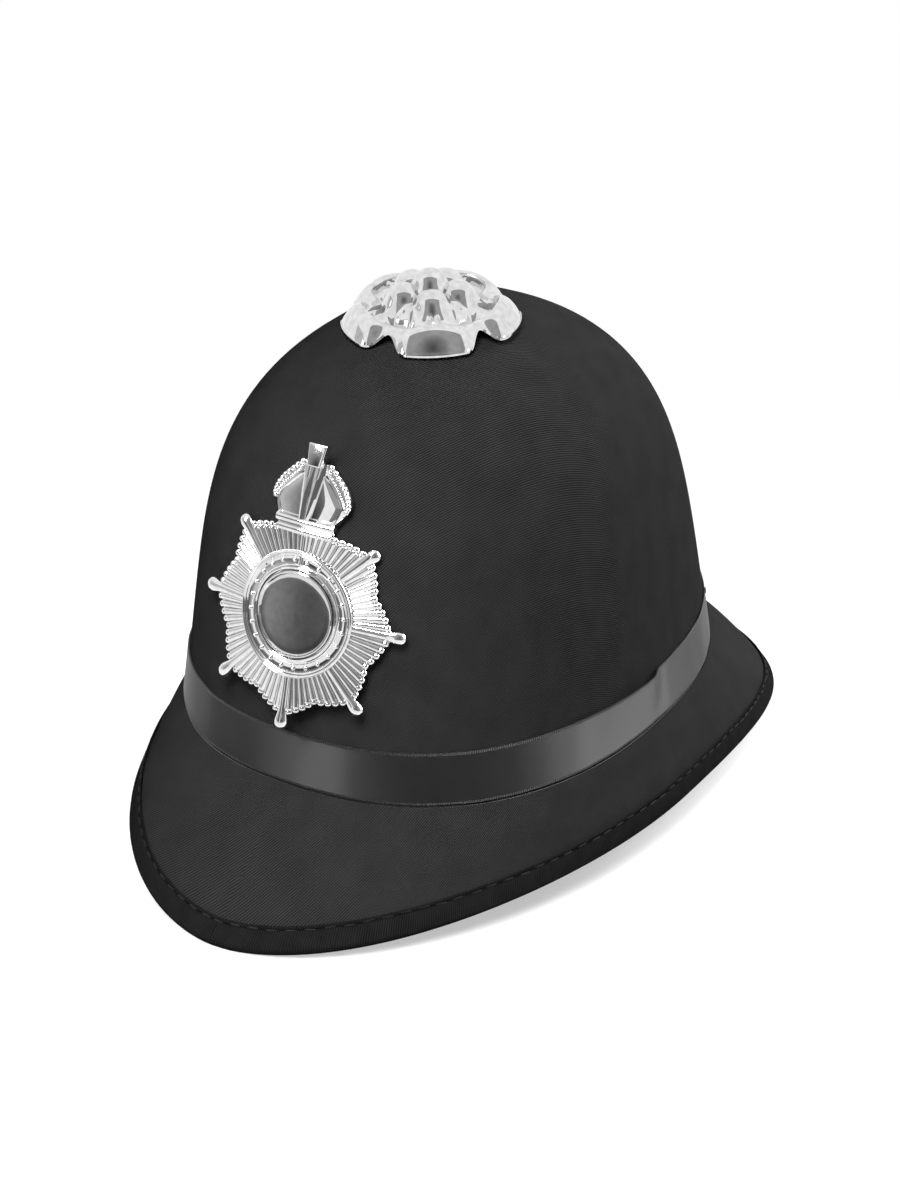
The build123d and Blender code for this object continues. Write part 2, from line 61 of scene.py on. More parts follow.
# Plies of the crown and the brim
ply_gap = 0.1 * MM
crown_cover_thickness = 0.8 * MM
shell_thickness = 3.0 * MM
lining_thickness = 0.6 * MM
lining_inset = crown_cover_thickness + shell_thickness + 2 * ply_gap
sweatband_inset = lining_inset + lining_thickness + ply_gap
sweatband_thickness = 1.2 * MM
sweatband_width = 28 * MM
brim_core_thickness = 2.0 * MM
brim_cover_thickness = 0.5 * MM

# Brim: reach of its edge from the crown's foot, and how its sides rise
brim_front_reach = 47.4 * MM
brim_back_reach = 59 * MM
brim_side_reach = 11 * MM
brim_side_rise = 14.2 * MM
brim_front_power = 1.91
brim_back_power = 2.57
brim_front_curl = 1.55
brim_back_curl = 4.2
brim_bulge_share = 0.03

# Folded tape at the brim's edge
binding_thickness = 0.7 * MM
binding_leg = 7.8 * MM
binding_nose = 1.3 * MM
binding_gap = 0.25 * MM
binding_flat_depth = 0.5 * MM

# Satin band
band_width = 18.6 * MM
band_foot_gap = 1.2 * MM
band_thickness = 0.5 * MM
band_stand = 2.2 * MM
band_ripple = 0.12 * MM
band_stand_turns = (radians(55), radians(84))
band_kink_turns = (radians(86), radians(91))

# Stitches of the binding and the sweatband, and the ribbon's tacks and join
stitch_diameter = 0.6 * MM
stitch_pitch = 6.4 * MM
stitch_length = 3.8 * MM
stitch_edge_gap = 1.3 * MM
sweatband_stitch_height = 3 * MM
sweatband_stitch_pitch = 8 * MM
sweatband_stitch_length = 4 * MM
tack_length = 5 * MM
tack_edge_gap = 2.2 * MM
tack_angles = (132, 160, 200, 228)
band_join_length = 15 * MM
band_join_overhang = 0.6 * MM

# Groove that the stitches pull into the tape: (run from its inner edge, dip) along its upper
# leg, and where painted shade darkens its finish along that groove, counted from both edges
tape_groove = 0.3 * MM
tape_upper_leg = (
    (0, 0.1 * MM), (0.4 * MM, -0.1 * MM), (0.85 * MM, 0.05 * MM), (stitch_edge_gap, tape_groove),
    (1.8 * MM, 0.12 * MM), (2.4 * MM, -0.05 * MM), (3.4 * MM, 0), (5.2 * MM, 0), (binding_leg, 0),
)
tape_finish_width = 21.8 * MM
tape_groove_shade_gap = 1.35 * MM
tape_groove_shade_half = 0.75 * MM

# Badge, in its own frame: X across, Y up, Z out of the front
badge_height = 62.9 * MM
badge_lean_run = 33.8 * MM
badge_wrap_radius = 109 * MM
badge_stand = 2.857 * MM
star_rays = 80
star_points = 8
star_shoulder_radius = 34.8 * MM
star_back = -1.3 * MM

# Rose boss, in its own frame: the middle of its rim, tipped with the crown's top
rose_forward = 12.8 * MM
rose_turn = radians(35)
rose_lobes = 5
rose_rim_drop = 4.0 * MM
rose_tip = 0.045

crown_middle = (brim_front_reach - brim_back_reach) / 2
crown_frame = Matrix.Translation((0, crown_middle, crown_base_height)) @ Matrix.Rotation(crown_pitch, 4, "X")


# Shape of the crown and the brim

def oval_radius(angle, half_width, half_length, power):
    """Distance from the middle to an oval, at an angle from the front."""
    across = abs(sin(angle) / half_width) ** power
    along = abs(cos(angle) / half_length) ** power
    return (across + along) ** (-1 / power)


def dome_oval(height, inset):
    """Half width, half length and middle of the crown's oval at a height."""
    share = min(height / (crown_height - inset), 1)
    full = (1 - share**dome_power) ** (1 / dome_round) * (1 - dome_taper_share * share)
    half_width = max(crown_half_width * full - inset, 0)
    half_length = max(crown_half_length * full - inset, 0)
    return half_width, half_length, -crown_drift * share**1.5


def crown_point(angle, height, inset):
    """Point on a face of the crown, an inset inside the cover's outside."""
    half_width, half_length, middle = dome_oval(height, inset)
    reach = 0
    if half_width > 0:
        reach = oval_radius(angle, half_width, half_length, crown_oval_power)
    return crown_frame @ Vector((reach * sin(angle), middle - reach * cos(angle), height))


top_cover_high = -(ply_gap + brim_cover_thickness)
under_cover_low = brim_core_thickness + ply_gap + brim_cover_thickness
binding_high = top_cover_high - binding_gap - binding_thickness
binding_low = under_cover_low + binding_gap + binding_thickness
front_slope = atan2(crown_base_height - crown_half_length * tan(crown_pitch), brim_front_reach)
edge_lift = binding_low * cos(front_slope) - binding_nose * sin(front_slope) - binding_flat_depth


def brim_run(angle):
    """Foot of the brim at an angle from the front, the direction of its run and its length."""
    foot = oval_radius(angle, crown_half_width, crown_half_length, crown_oval_power) + ply_gap
    foot_z = crown_base_height - foot * cos(angle) * tan(crown_pitch) - ply_gap
    at_front = cos(angle) > 0
    reach = crown_half_length + (brim_front_reach if at_front else brim_back_reach)
    power = brim_front_power if at_front else brim_back_power
    curl = brim_front_curl if at_front else brim_back_curl
    side = crown_half_width + brim_side_reach
    edge = oval_radius(angle, side, reach, power)
    edge_z = edge_lift + brim_side_rise * abs(edge * sin(angle) / side) ** (power * curl / 2)
    length = hypot(edge - foot, edge_z - foot_z)
    return foot, foot_z, (edge - foot) / length, (edge_z - foot_z) / length, length - binding_nose


def brim_point(angle, distance, depth):
    """Point at a distance along the brim's run and a depth under the top of its core."""
    foot, foot_z, across, down, length = brim_run(angle)
    share = distance / length
    offset = 4 * brim_bulge_share * length * share * (1 - share) - depth
    out = foot + across * distance - down * offset
    height = foot_z + down * distance + across * offset
    return Vector((out * sin(angle), crown_middle - out * cos(angle), height))


# Meshes

def deselect_all():
    if bpy.context.object and bpy.context.object.mode != "OBJECT":
        bpy.ops.object.mode_set(mode="OBJECT")
    bpy.ops.object.select_all(action="DESELECT")


def choose(piece):
    """Make a piece the only one that is selected, and the active one."""
    deselect_all()
    piece.select_set(True)
    bpy.context.view_layer.objects.active = piece


def add_modifier(piece, kind, **values):
    """Give a piece a modifier and apply it."""
    modifier = piece.modifiers.new(kind.title(), kind)
    for key, value in values.items():
        setattr(modifier, key, value)
    choose(piece)
    bpy.ops.object.modifier_apply(modifier=modifier.name)


def shade(piece, material, angle=radians(40)):
    """Smooth shading up to an angle, and the piece's material."""
    piece.data.materials.clear()
    piece.data.materials.append(material)
    choose(piece)
    bpy.ops.object.shade_smooth_by_angle(angle=angle)


def place(piece, *nodes, slot=None):
    """The piece rides on the helmet and stands for its nodes."""
    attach(piece, "root")
    if nodes:
        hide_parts(*nodes)
    return piece


def cloth(name, rings, uv_of, material, thickness, smooth=radians(40), closed=True):
    """Sheet of cloth through rings of points, thickened away from its face.

    The face looks outwards where the rings go up, and down where they widen. uv_of gives the
    place on the flat cloth, in metres, from a ring's number and a step round it. A sheet that
    isn't closed ends at the last point of each ring.
    """
    mesh = bpy.data.meshes.new(name)
    build = bmesh.new()
    layer = build.loops.layers.uv.new("weave")
    rows = []
    for ring in rings:
        rows.append([build.verts.new(point) for point in ring])
    count = len(rings[0])
    for low in range(len(rows) - 1):
        for step in range(count if closed else count - 1):
            after = (step + 1) % count
            corners = ((low, step), (low, step + 1), (low + 1, step + 1), (low + 1, step))
            verts = (rows[low][step], rows[low][after], rows[low + 1][after], rows[low + 1][step])
            face = build.faces.new(verts)
            for loop, corner in zip(face.loops, corners):
                loop[layer].uv = uv_of(*corner)
    build.to_mesh(mesh)
    build.free()
    piece = bpy.data.objects.new(name, mesh)
    bpy.context.scene.collection.objects.link(piece)
    add_modifier(piece, "SOLIDIFY", thickness=thickness, offset=-1, use_even_offset=False)
    shade(piece, material, smooth)
    return piece


def put(piece, matrix):
    """Move a piece by a matrix, into its mesh."""
    piece.matrix_world = matrix
    choose(piece)
    bpy.ops.object.transform_apply(location=True, rotation=True, scale=True)
    return piece


def copy_to(piece, matrix):
    """A copy of a piece with a mesh of its own, moved by a matrix."""
    made = piece.copy()
    made.data = piece.data.copy()
    bpy.context.scene.collection.objects.link(made)
    return put(made, matrix)


def copies(piece, matrices):
    """Copies of a piece at each of the places; the pattern itself goes."""
    made = [copy_to(piece, matrix) for matrix in matrices]
    bpy.data.objects.remove(piece)
    return made


def join(name, pieces):
    deselect_all()
    for piece in pieces:
        piece.select_set(True)
    bpy.context.view_layer.objects.active = pieces[0]
    bpy.ops.object.join()
    pieces[0].name = name
    return pieces[0]


def edit(piece):
    """Edit mode on a piece, with all of it selected."""
    choose(piece)
    bpy.ops.object.mode_set(mode="EDIT")
    bpy.ops.mesh.select_mode(type="VERT")
    bpy.ops.mesh.select_all(action="SELECT")


def end_edit():
    bpy.ops.object.mode_set(mode="OBJECT")


def end_outwards():
    """Turn all faces outwards and leave edit mode."""
    bpy.ops.mesh.select_all(action="SELECT")
    bpy.ops.mesh.normals_make_consistent(inside=False)
    end_edit()


def choose_places(piece, test):
    """Select only the vertices whose places pass a test, in edit mode afterwards."""
    edit(piece)
    bpy.ops.mesh.select_all(action="DESELECT")
    end_edit()
    for vertex in piece.data.vertices:
        vertex.select = test(vertex.co)
    bpy.ops.object.mode_set(mode="EDIT")


def lathe(name, profile, sides, fill="NGON"):
    """Body turned round Z through (radius, height) points; it may come back to its start."""
    deselect_all()
    radius, height = profile[0]
    bpy.ops.mesh.primitive_circle_add(vertices=sides, radius=radius, fill_type=fill)
    piece = bpy.context.object
    piece.name = name
    put(piece, Matrix.Translation((0, 0, height)))
    edit(piece)
    for (before, low), (after, high) in zip(profile, profile[1:]):
        bpy.ops.mesh.extrude_edges_move(TRANSFORM_OT_translate={"value": (0, 0, high - low)})
        share = after / before
        bpy.ops.transform.resize(value=(share, share, 1), center_override=(0, 0, 0))
    bpy.ops.mesh.select_all(action="SELECT")
    bpy.ops.mesh.remove_doubles(threshold=0.002 * MM)
    end_outwards()
    return piece


def in_mm(profile):
    """Profile in metres from one that is written in mm."""
    return [(radius * MM, height * MM) for radius, height in profile]


def close_ends(piece):
    """Faces over the open ends of a turned body."""
    edit(piece)
    bpy.ops.mesh.select_all(action="DESELECT")
    bpy.ops.mesh.select_non_manifold()
    bpy.ops.mesh.edge_face_add()
    end_edit()


def mould(piece, rule):
    """Press a sheet to its form: each point of it goes where a rule of its place says."""
    for vertex in piece.data.vertices:
        vertex.co = rule(vertex.co)
    piece.data.update()


def blend_between(value, low, high):
    """0 up to low, 1 from high, and a soft step between them."""
    share = min(max((value - low) / (high - low), 0), 1)
    return share * share * (3 - 2 * share)


def table_value(table, value):
    """Value between the points of a table of (place, value)."""
    for (before, first), (after, second) in zip(table, table[1:]):
        if value <= after:
            share = max((value - before) / (after - before), 0)
            return first + (second - first) * share
    return table[-1][1]


def ring_angles(count):
    return [FULL_TURN * step / count for step in range(count)]


def path_length(points):
    return sum((after - before).length for before, after in zip(points, points[1:]))


# Materials

class Finish:
    """A node material round one Principled shader."""

    def __init__(self, name):
        self.material = bpy.data.materials.new(name)
        self.material.use_nodes = True
        self.tree = self.material.node_tree
        self.shader = self.tree.nodes["Principled BSDF"]

    def node(self, kind, links=(), **values):
        """A node with its settings and input values, and links into its inputs."""
        made = self.tree.nodes.new(kind)
        for key, value in values.items():
            setattr(made, key, value)
        for key, source in links:
            if isinstance(source, bpy.types.NodeSocket):
                self.tree.links.new(source, made.inputs[key])
            else:
                made.inputs[key].default_value = source
        return made

    def set(self, **values):
        """Constants on the shader's own sockets."""
        for key, value in values.items():
            self.shader.inputs[key.replace("_", " ")].default_value = value

    def link(self, source, socket):
        self.tree.links.new(source, self.shader.inputs[socket])

    def uv(self, turn=0.0):
        """The cloth's own flat coordinates in metres, turned."""
        source = self.node("ShaderNodeUVMap", uv_map="weave")
        mapped = self.node("ShaderNodeMapping", (("Vector", source.outputs["UV"]),))
        mapped.inputs["Rotation"].default_value = (0, 0, turn)
        return mapped.outputs["Vector"]

    def places(self):
        return self.node("ShaderNodeTexCoord").outputs["Object"]

    def bands(self, vector, pitch, distortion=0.0):
        """Ridges across a coordinate, one each pitch."""
        wave_period = FULL_TURN / 20
        links = [("Vector", vector), ("Scale", wave_period / pitch), ("Distortion", distortion)]
        return self.node("ShaderNodeTexWave", links).outputs["Fac"]

    def noise(self, vector, size, detail=3.0):
        links = [("Vector", vector), ("Scale", 1 / size), ("Detail", detail)]
        return self.node("ShaderNodeTexNoise", links).outputs["Fac"]

    def math(self, operation, first, second):
        return self.node("ShaderNodeMath", ((0, first), (1, second)), operation=operation).outputs[0]

    def ramp(self, source, stops):
        """Colours of a value, from a few stops of (place, colour)."""
        made = self.node("ShaderNodeValToRGB", (("Fac", source),))
        points = made.color_ramp.elements
        while len(points) < len(stops):
            points.new(0.5)
        for point, (position, colour) in zip(points, stops):
            point.position = position
            point.color = (*colour, 1)
        return made.outputs["Color"]

    def tint(self, tone, low, high, dark, light):
        """Grey of the shader, from dark at a low tone to light at a high one."""
        self.link(self.ramp(tone, ((low, grey(dark)), (high, grey(light)))), "Base Color")

    def bump(self, height, depth, strength=1.0, under=None):
        links = [("Height", height), ("Distance", depth), ("Strength", strength)]
        if under:
            links.append(("Normal", under))
        return self.node("ShaderNodeBump", links).outputs["Normal"]


def grey(value, warmth=0.0):
    return (value * (1 + warmth), value, value * (1 - warmth))


def twill_finish(name, dark, light, pitch, turn, depth):
    """Black twill: fine slanting ridges with threads across them."""
    made = Finish(name)
    lines = made.bands(made.uv(turn), pitch, distortion=0.5)
    threads = made.bands(made.uv(turn + radians(68)), pitch * 0.55, distortion=0.8)
    weave = made.math("MULTIPLY", lines, made.math("ADD", 0.55, made.math("MULTIPLY", threads, 0.45)))
    cloud = made.noise(made.uv(), 14 * MM)
    fuzz = made.noise(made.uv(), 0.5 * MM, 2.0)
    soft = made.math("ADD", made.math("MULTIPLY", cloud, 0.2), made.math("MULTIPLY", fuzz, 0.3))
    tone = made.math("ADD", made.math("MULTIPLY", weave, 0.5), soft)
    made.tint(tone, 0.15, 0.85, dark, light)
    under = made.bump(fuzz, 0.05 * MM, 0.4)
    made.link(made.bump(weave, depth, 0.9, under), "Normal")
    made.set(Roughness=0.75, Specular_IOR_Level=0.0)
    return made.material


def tape_finish():
    """Matt black bias tape: fine ribs across it, with painted shade in the groove where the stitches pull it
    in.
    """
    made = Finish("binding_tape")
    ribs = made.bands(made.uv(), 0.75 * MM, distortion=0.8)
    cloud = made.noise(made.uv(), 6 * MM)
    across = made.node("ShaderNodeSeparateXYZ", ((0, made.uv()),)).outputs["Y"]
    from_edge = made.math("MINIMUM", across, made.math("SUBTRACT", tape_finish_width, across))
    from_groove = made.math("ABSOLUTE", made.math("SUBTRACT", from_edge, tape_groove_shade_gap), 0)
    groove_shade_ramp = made.node("ShaderNodeMapRange", (("Value", from_groove), ("From Max", tape_groove_shade_half)))
    groove_shade_ramp.interpolation_type = "SMOOTHSTEP"
    unshaded_share = groove_shade_ramp.outputs["Result"]
    tone = made.math("ADD", made.math("MULTIPLY", ribs, 0.55), made.math("MULTIPLY", cloud, 0.45))
    # painted shade: the tone falls to 0.3 of itself along the groove near both edges of the tape
    tone = made.math("MULTIPLY", tone, made.math("ADD", 0.3, made.math("MULTIPLY", unshaded_share, 0.7)))
    made.tint(tone, 0.1, 0.9, 0.003, 0.015)
    made.link(made.bump(ribs, 0.12 * MM, 0.8), "Normal")
    made.set(Roughness=0.8, Specular_IOR_Level=0.0)
    return made.material


def satin_finish():
    """Black satin: long floats that spread the light across the ribbon, and a picked selvedge."""
    made = Finish("satin_ribbon")
    floats = made.node("ShaderNodeMapping", (("Vector", made.uv()),))
    floats.inputs["Scale"].default_value = (0.1, 1, 1)
    streaks = made.noise(floats.outputs["Vector"], 0.4 * MM, 4.0)
    cloud = made.noise(made.uv(), 20 * MM)
    split = made.node("ShaderNodeSeparateXYZ", (("Vector", made.uv()),))
    centre = made.math("SUBTRACT", split.outputs["Y"], band_width / 2)
    away = made.math("ABSOLUTE", centre, 0)
    edge = made.math("GREATER_THAN", away, band_width / 2 - 0.75 * MM)
    dots = made.bands(made.uv(), 0.8 * MM)
    picks = made.math("MULTIPLY", edge, dots)
    tone = made.math("ADD", made.math("MULTIPLY", streaks, 0.6), made.math("MULTIPLY", cloud, 0.25))
    tone = made.math("ADD", tone, made.math("MULTIPLY", picks, 0.5))
    made.tint(tone, 0.2, 1.0, 0.003, 0.015)
    under = made.bump(streaks, 0.02 * MM, 0.5)
    made.link(made.bump(picks, 0.2 * MM, 0.9, under), "Normal")
    made.set(Roughness=0.42, Anisotropic=0.95, Anisotropic_Rotation=0.25, Specular_IOR_Level=0.26)
    tangent = made.node("ShaderNodeTangent", direction_type="UV_MAP", uv_map="weave")
    made.link(tangent.outputs["Tangent"], "Tangent")
    return made.material


def plain_cloth_finish(name, dark, light, pitch):
    """Plain woven cloth: even threads both ways."""
    made = Finish(name)
    one = made.bands(made.uv(), pitch, 0.5)
    other = made.bands(made.uv(radians(90)), pitch, 0.5)
    weave = made.math("MAXIMUM", one, other)
    cloud = made.noise(made.uv(), 18 * MM)
    tone = made.math("ADD", made.math("MULTIPLY", weave, 0.6), made.math("MULTIPLY", cloud, 0.4))
    made.tint(tone, 0.2, 0.9, dark, light)
    made.link(made.bump(weave, 0.1 * MM, 0.7), "Normal")
    made.set(Roughness=0.9, Sheen_Weight=0.05, Specular_IOR_Level=0.2)
    return made.material


def thread_finish():
    """Black sewing thread with its twist."""
    made = Finish("black_thread")
    twist = made.noise(made.places(), 0.35 * MM)
    made.tint(twist, 0.3, 0.8, 0.003, 0.009)
    made.link(made.bump(twist, 0.08 * MM, 0.7), "Normal")
    made.set(Roughness=0.6, Specular_IOR_Level=0.1)
    return made.material


def chrome_finish(name="chrome_plate", dark=0.72, light=0.84, rough_from=0.02, rough_to=0.06):
    """Bright plating over moulded plastic, with faint waves and rubbed haze."""
    made = Finish(name)
    waves = made.noise(made.places(), 7 * MM, 2.0)
    haze = made.noise(made.places(), 2.5 * MM, 4.0)
    made.tint(haze, 0.3, 0.7, dark, light)
    rough = made.node("ShaderNodeMapRange", (("Value", haze), ("To Min", rough_from), ("To Max", rough_to)))
    made.link(rough.outputs["Result"], "Roughness")
    made.link(made.bump(waves, 0.05 * MM, 0.12), "Normal")
    made.set(Metallic=1.0)
    return made.material


def moulded_finish(name, dark, light, roughness, metallic=0.0):
    """Plain moulded or rolled stuff with a faint grain."""
    made = Finish(name)
    grain = made.noise(made.places(), 1.2 * MM, 4.0)
    made.tint(grain, 0.3, 0.75, dark, light)
    made.link(made.bump(grain, 0.06 * MM, 0.5), "Normal")
    made.set(Roughness=roughness, Metallic=metallic)
    return made.material


crown_twill = twill_finish("crown_twill", 0.004, 0.034, 0.8 * MM, radians(35), 0.08 * MM)
brim_twill = twill_finish("brim_twill", 0.005, 0.037, 0.76 * MM, radians(38), 0.14 * MM)
binding_tape = tape_finish()
satin = satin_finish()
lining_cotton = plain_cloth_finish("lining_cotton", 0.015, 0.04, 0.9 * MM)
sweatband_cotton = plain_cloth_finish("sweatband_cotton", 0.02, 0.05, 1.3 * MM)
black_thread = thread_finish()
chrome = chrome_finish()
# painted reflection: the dished disc's plating is darker than the other chrome (0.62 to 0.74 against 0.72 to
# 0.84), standing in for the dark surroundings it mirrors
disc_chrome_painted_reflection = chrome_finish("disc_chrome_painted_reflection", 0.62, 0.74)
rose_chrome = chrome_finish("rose_chrome", 0.64, 0.84, 0.04, 0.08)
bare_plastic = moulded_finish("bare_plastic", 0.5, 0.62, 0.4)
core_board = moulded_finish("core_board", 0.05, 0.09, 0.8)
washer_steel = moulded_finish("washer_steel", 0.5, 0.62, 0.3, metallic=1.0)


# Crown cover, lining and sweatband

def dome_rings(inset, steps_up, around):
    """Rings of the dome from its foot to near its top, closer together towards the top."""
    rings = []
    for unshaded_share in range(steps_up + 1):
        share = sin(pi / 2 * unshaded_share / steps_up) ** 0.9
        height = min(share, 0.9995) * (crown_height - inset)
        rings.append([crown_point(angle, height, inset) for angle in ring_angles(around)])
    top = crown_frame @ Vector((0, -crown_drift, crown_height - inset))
    rings.append([top.copy() for angle in ring_angles(around)])
    return rings


def dome_uv(rings):
    """Flat places of a dome's rings on one round of cloth, by the run down from its top."""
    count = len(rings[0])
    runs = [0.0] * len(rings)
    for number in range(len(rings) - 2, -1, -1):
        step = sum((rings[number][i] - rings[number + 1][i]).length for i in range(count)) / count
        runs[number] = runs[number + 1] + step

    def uv_of(number, step):
        turn = FULL_TURN * step / count
        return (runs[number] * sin(turn), -runs[number] * cos(turn))

    return uv_of


def closed_dome(name, inset, thickness, material, slot, node):
    """Cloth over the whole dome, cut from one square and stretched over the core."""
    rings = dome_rings(inset, 56, 180)
    piece = cloth(name, rings, dome_uv(rings), material, thickness)
    add_modifier(piece, "WELD", merge_threshold=0.01 * MM)
    up_length = path_length([ring[0] for ring in rings])
    place(piece, node, slot=slot)


def strip_rings(point_at, values, around):
    """Rings of points round the helmet, one for each of the values across a strip."""
    return [[point_at(angle, value) for angle in ring_angles(around)] for value in values]


def strip_uv(rings, middle=0):
    """Flat places of a strip: along it from its middle ring's length, and across it."""
    count = len(rings[0])
    along = path_length(rings[middle] + rings[middle][:1]) / count
    across = [0.0]
    for before, after in zip(rings, rings[1:]):
        step = sum((after[i] - before[i]).length for i in range(count)) / count
        across.append(across[-1] + step)

    def uv_of(number, step):
        return (along * step, across[number])

    return uv_of, along * count, across[-1]


def spread(low, high, steps):
    """Even steps from low to high, both ends with them."""
    return [low + (high - low) * step / steps for step in range(steps + 1)]


closed_dome("crown_twill_cover", 0, crown_cover_thickness, crown_twill, "twill", "crown_cover")
closed_dome(
    "crown_inner_lining", lining_inset, lining_thickness, lining_cotton, "lining_cloth", "crown_lining"
)


# Brim covers

def brim_sheet(name, depth, node):
    """Twill over or under the brim's core, with its face at a depth under the core's top."""

    def point_at(angle, share):
        length = brim_run(angle)[4] - ply_gap
        return brim_point(angle, share * length, depth)

    shares = spread(0, 1, 18)
    if depth < 0:
        shares.reverse()
    rings = strip_rings(point_at, shares, 216)
    uv_of, along, across = strip_uv(rings, len(rings) // 2)
    piece = cloth(name, rings, uv_of, brim_twill, brim_cover_thickness)
    place(piece, node, slot="twill")


brim_sheet("brim_twill_top", top_cover_high, "brim_top_cover")
brim_sheet("brim_twill_under", under_cover_low, "brim_under_cover")


# Binding tape

def tape_path(angle):
    """Points across the folded tape, from its upper inner edge over the nose to its lower one."""
    length = brim_run(angle)[4]
    half = (binding_low - binding_high) / 2
    middle = (binding_low + binding_high) / 2
    points = [(length - binding_leg + run, binding_high + dip) for run, dip in tape_upper_leg]
    for step in range(1, 8):
        turn = pi * step / 8
        points.append((length + binding_nose * sin(turn), middle - half * cos(turn)))
    points += [(length - step * binding_leg / 6, binding_low) for step in range(7)]
    return points


def tape_point(angle, number):
    """Point of the tape's outside, kept above the floor."""
    distance, depth = tape_path(angle)[number]
    point = brim_point(angle, distance, depth)
    point.z = max(point.z, 0)
    return point


tape_count = len(tape_path(0))
tape_rings = strip_rings(tape_point, range(tape_count - 1, -1, -1), 288)
tape_uv, tape_along, tape_across = strip_uv(tape_rings, tape_count // 2)
binding = cloth("brim_edge_tape", tape_rings, tape_uv, binding_tape, binding_thickness * 0.9)
place(binding, "brim_binding", slot="binding_tape")


# Satin band

def band_point(angle, height):
    """Point of the ribbon's face; on one side its upper edge stands off up to a kink."""
    share = (height - band_foot_gap) / band_width
    stand = blend_between(angle, *band_stand_turns) - blend_between(angle, *band_kink_turns)
    ripple = band_ripple * (1 + sin(13 * angle)) * (1 + sin(31 * angle + 1)) / 2
    lift = band_stand * stand * share**1.6 + ripple
    return crown_point(angle, height, -(ply_gap + band_thickness + lift))


band_rings = strip_rings(band_point, spread(band_foot_gap, band_foot_gap + band_width, 10), 288)
band_uv, band_along, band_across = strip_uv(band_rings)
hat_band = cloth("satin_hat_band", band_rings, band_uv, satin, band_thickness)
place(hat_band, "hat_band", slot="satin_ribbon")


# Sweatband

def sweatband_point(angle, height):
    return crown_point(angle, height, sweatband_inset)


sweat_rings = strip_rings(sweatband_point, spread(0, sweatband_width, 10), 180)
sweat_uv, sweat_along, sweat_across = strip_uv(sweat_rings)
sweatband = cloth("sweatband_strip", sweat_rings, sweat_uv, sweatband_cotton, sweatband_thickness)
place(sweatband, "sweatband", slot="sweatband_cloth")

# The ribbon's join at the back: its end lies over its start
join_turn = band_join_length / 2 / crown_half_length
join_steps = 16
join_rows = 10


def join_point(angle, height):
    share = min(abs(angle - pi) / join_turn, 1)
    lift = ply_gap + band_thickness * (2.1 - 0.25 * share**8) + ply_gap
    return crown_point(angle, height, -lift)


join_low = band_foot_gap - band_join_overhang
join_high = band_foot_gap + band_width + band_join_overhang
join_angles = spread(pi - join_turn, pi + join_turn, join_steps)
join_rings = []
for height in spread(join_low, join_high, join_rows):
    join_rings.append([join_point(angle, height) for angle in join_angles])
tab_along = path_length(join_rings[0])
tab_across = path_length([ring[0] for ring in join_rings])


def tab_uv(number, step):
    return (tab_along * step / join_steps, tab_across * number / join_rows)


band_tab = cloth("ribbon_end", join_rings, tab_uv, satin, band_thickness * 0.9, closed=False)
place(band_tab, "hat_band_join", slot="satin_ribbon")


# Stitches: one pattern for each seam, laid round it with a little unevenness

def thread_bar(name, length, diameter):
    """Short thread along X that dips into the cloth at both ends."""
    half = diameter / 2
    shares = ((0.35, 0), (0.8, 0.08), (1, 0.25), (1, 0.75), (0.8, 0.92), (0.35, 1))
    bar = lathe(name, [(half * share, length * along) for share, along in shares], 6)
    close_ends(bar)
    put(bar, Matrix.Rotation(pi / 2, 4, "Y") @ Matrix.Translation((0, 0, -length / 2)))
    return bar


def seam_places(seam, pitch_length, steps=720):
    """Angles round a closed seam, one for each even step along it."""
    points = [seam(FULL_TURN * i / steps) for i in range(steps + 1)]
    runs = [0.0]
    for before, after in zip(points, points[1:]):
        runs.append(runs[-1] + (after - before).length)
    count = round(runs[-1] / pitch_length)
    found = []
    for i, run in enumerate(runs[:-1]):
        if run >= len(found) * runs[-1] / count:
            found.append(FULL_TURN * i / steps)
    return found


def lay_threads(name, bar, angles, seam, across, sink, node, uneven=0.0):
    """Copies of a thread along a seam, their middles lying on the cloth."""
    chance = random.Random(7)
    matrices = []
    for angle in angles:
        run = (seam(angle + 0.01) - seam(angle - 0.01)).normalized()
        out = across(angle).cross(run).normalized()
        side = out.cross(run)
        slip = side * chance.uniform(-uneven, uneven)
        turned = Matrix((run, side, out)).transposed().to_4x4()
        twist = Matrix.Rotation(chance.uniform(-1, 1) * uneven / (0.6 * MM) * radians(6), 4, "Z")
        matrices.append(Matrix.Translation(seam(angle) + out * sink + slip) @ turned @ twist)
    laid = join(name, copies(bar, matrices))
    shade(laid, black_thread)
    return place(laid, node, slot="black_thread")


def binding_seam(angle):
    distance = brim_run(angle)[4] - binding_leg + stitch_edge_gap
    return brim_point(angle, distance, binding_high + tape_groove)


def binding_across(angle):
    foot, foot_z, across, down, length = brim_run(angle)
    return Vector((across * sin(angle), -across * cos(angle), down))


def sweatband_seam(angle):
    return crown_point(angle, sweatband_stitch_height, sweatband_inset + sweatband_thickness)


def tack_place(angle):
    return crown_point(angle, band_foot_gap + band_width - tack_edge_gap, -(ply_gap + band_thickness))


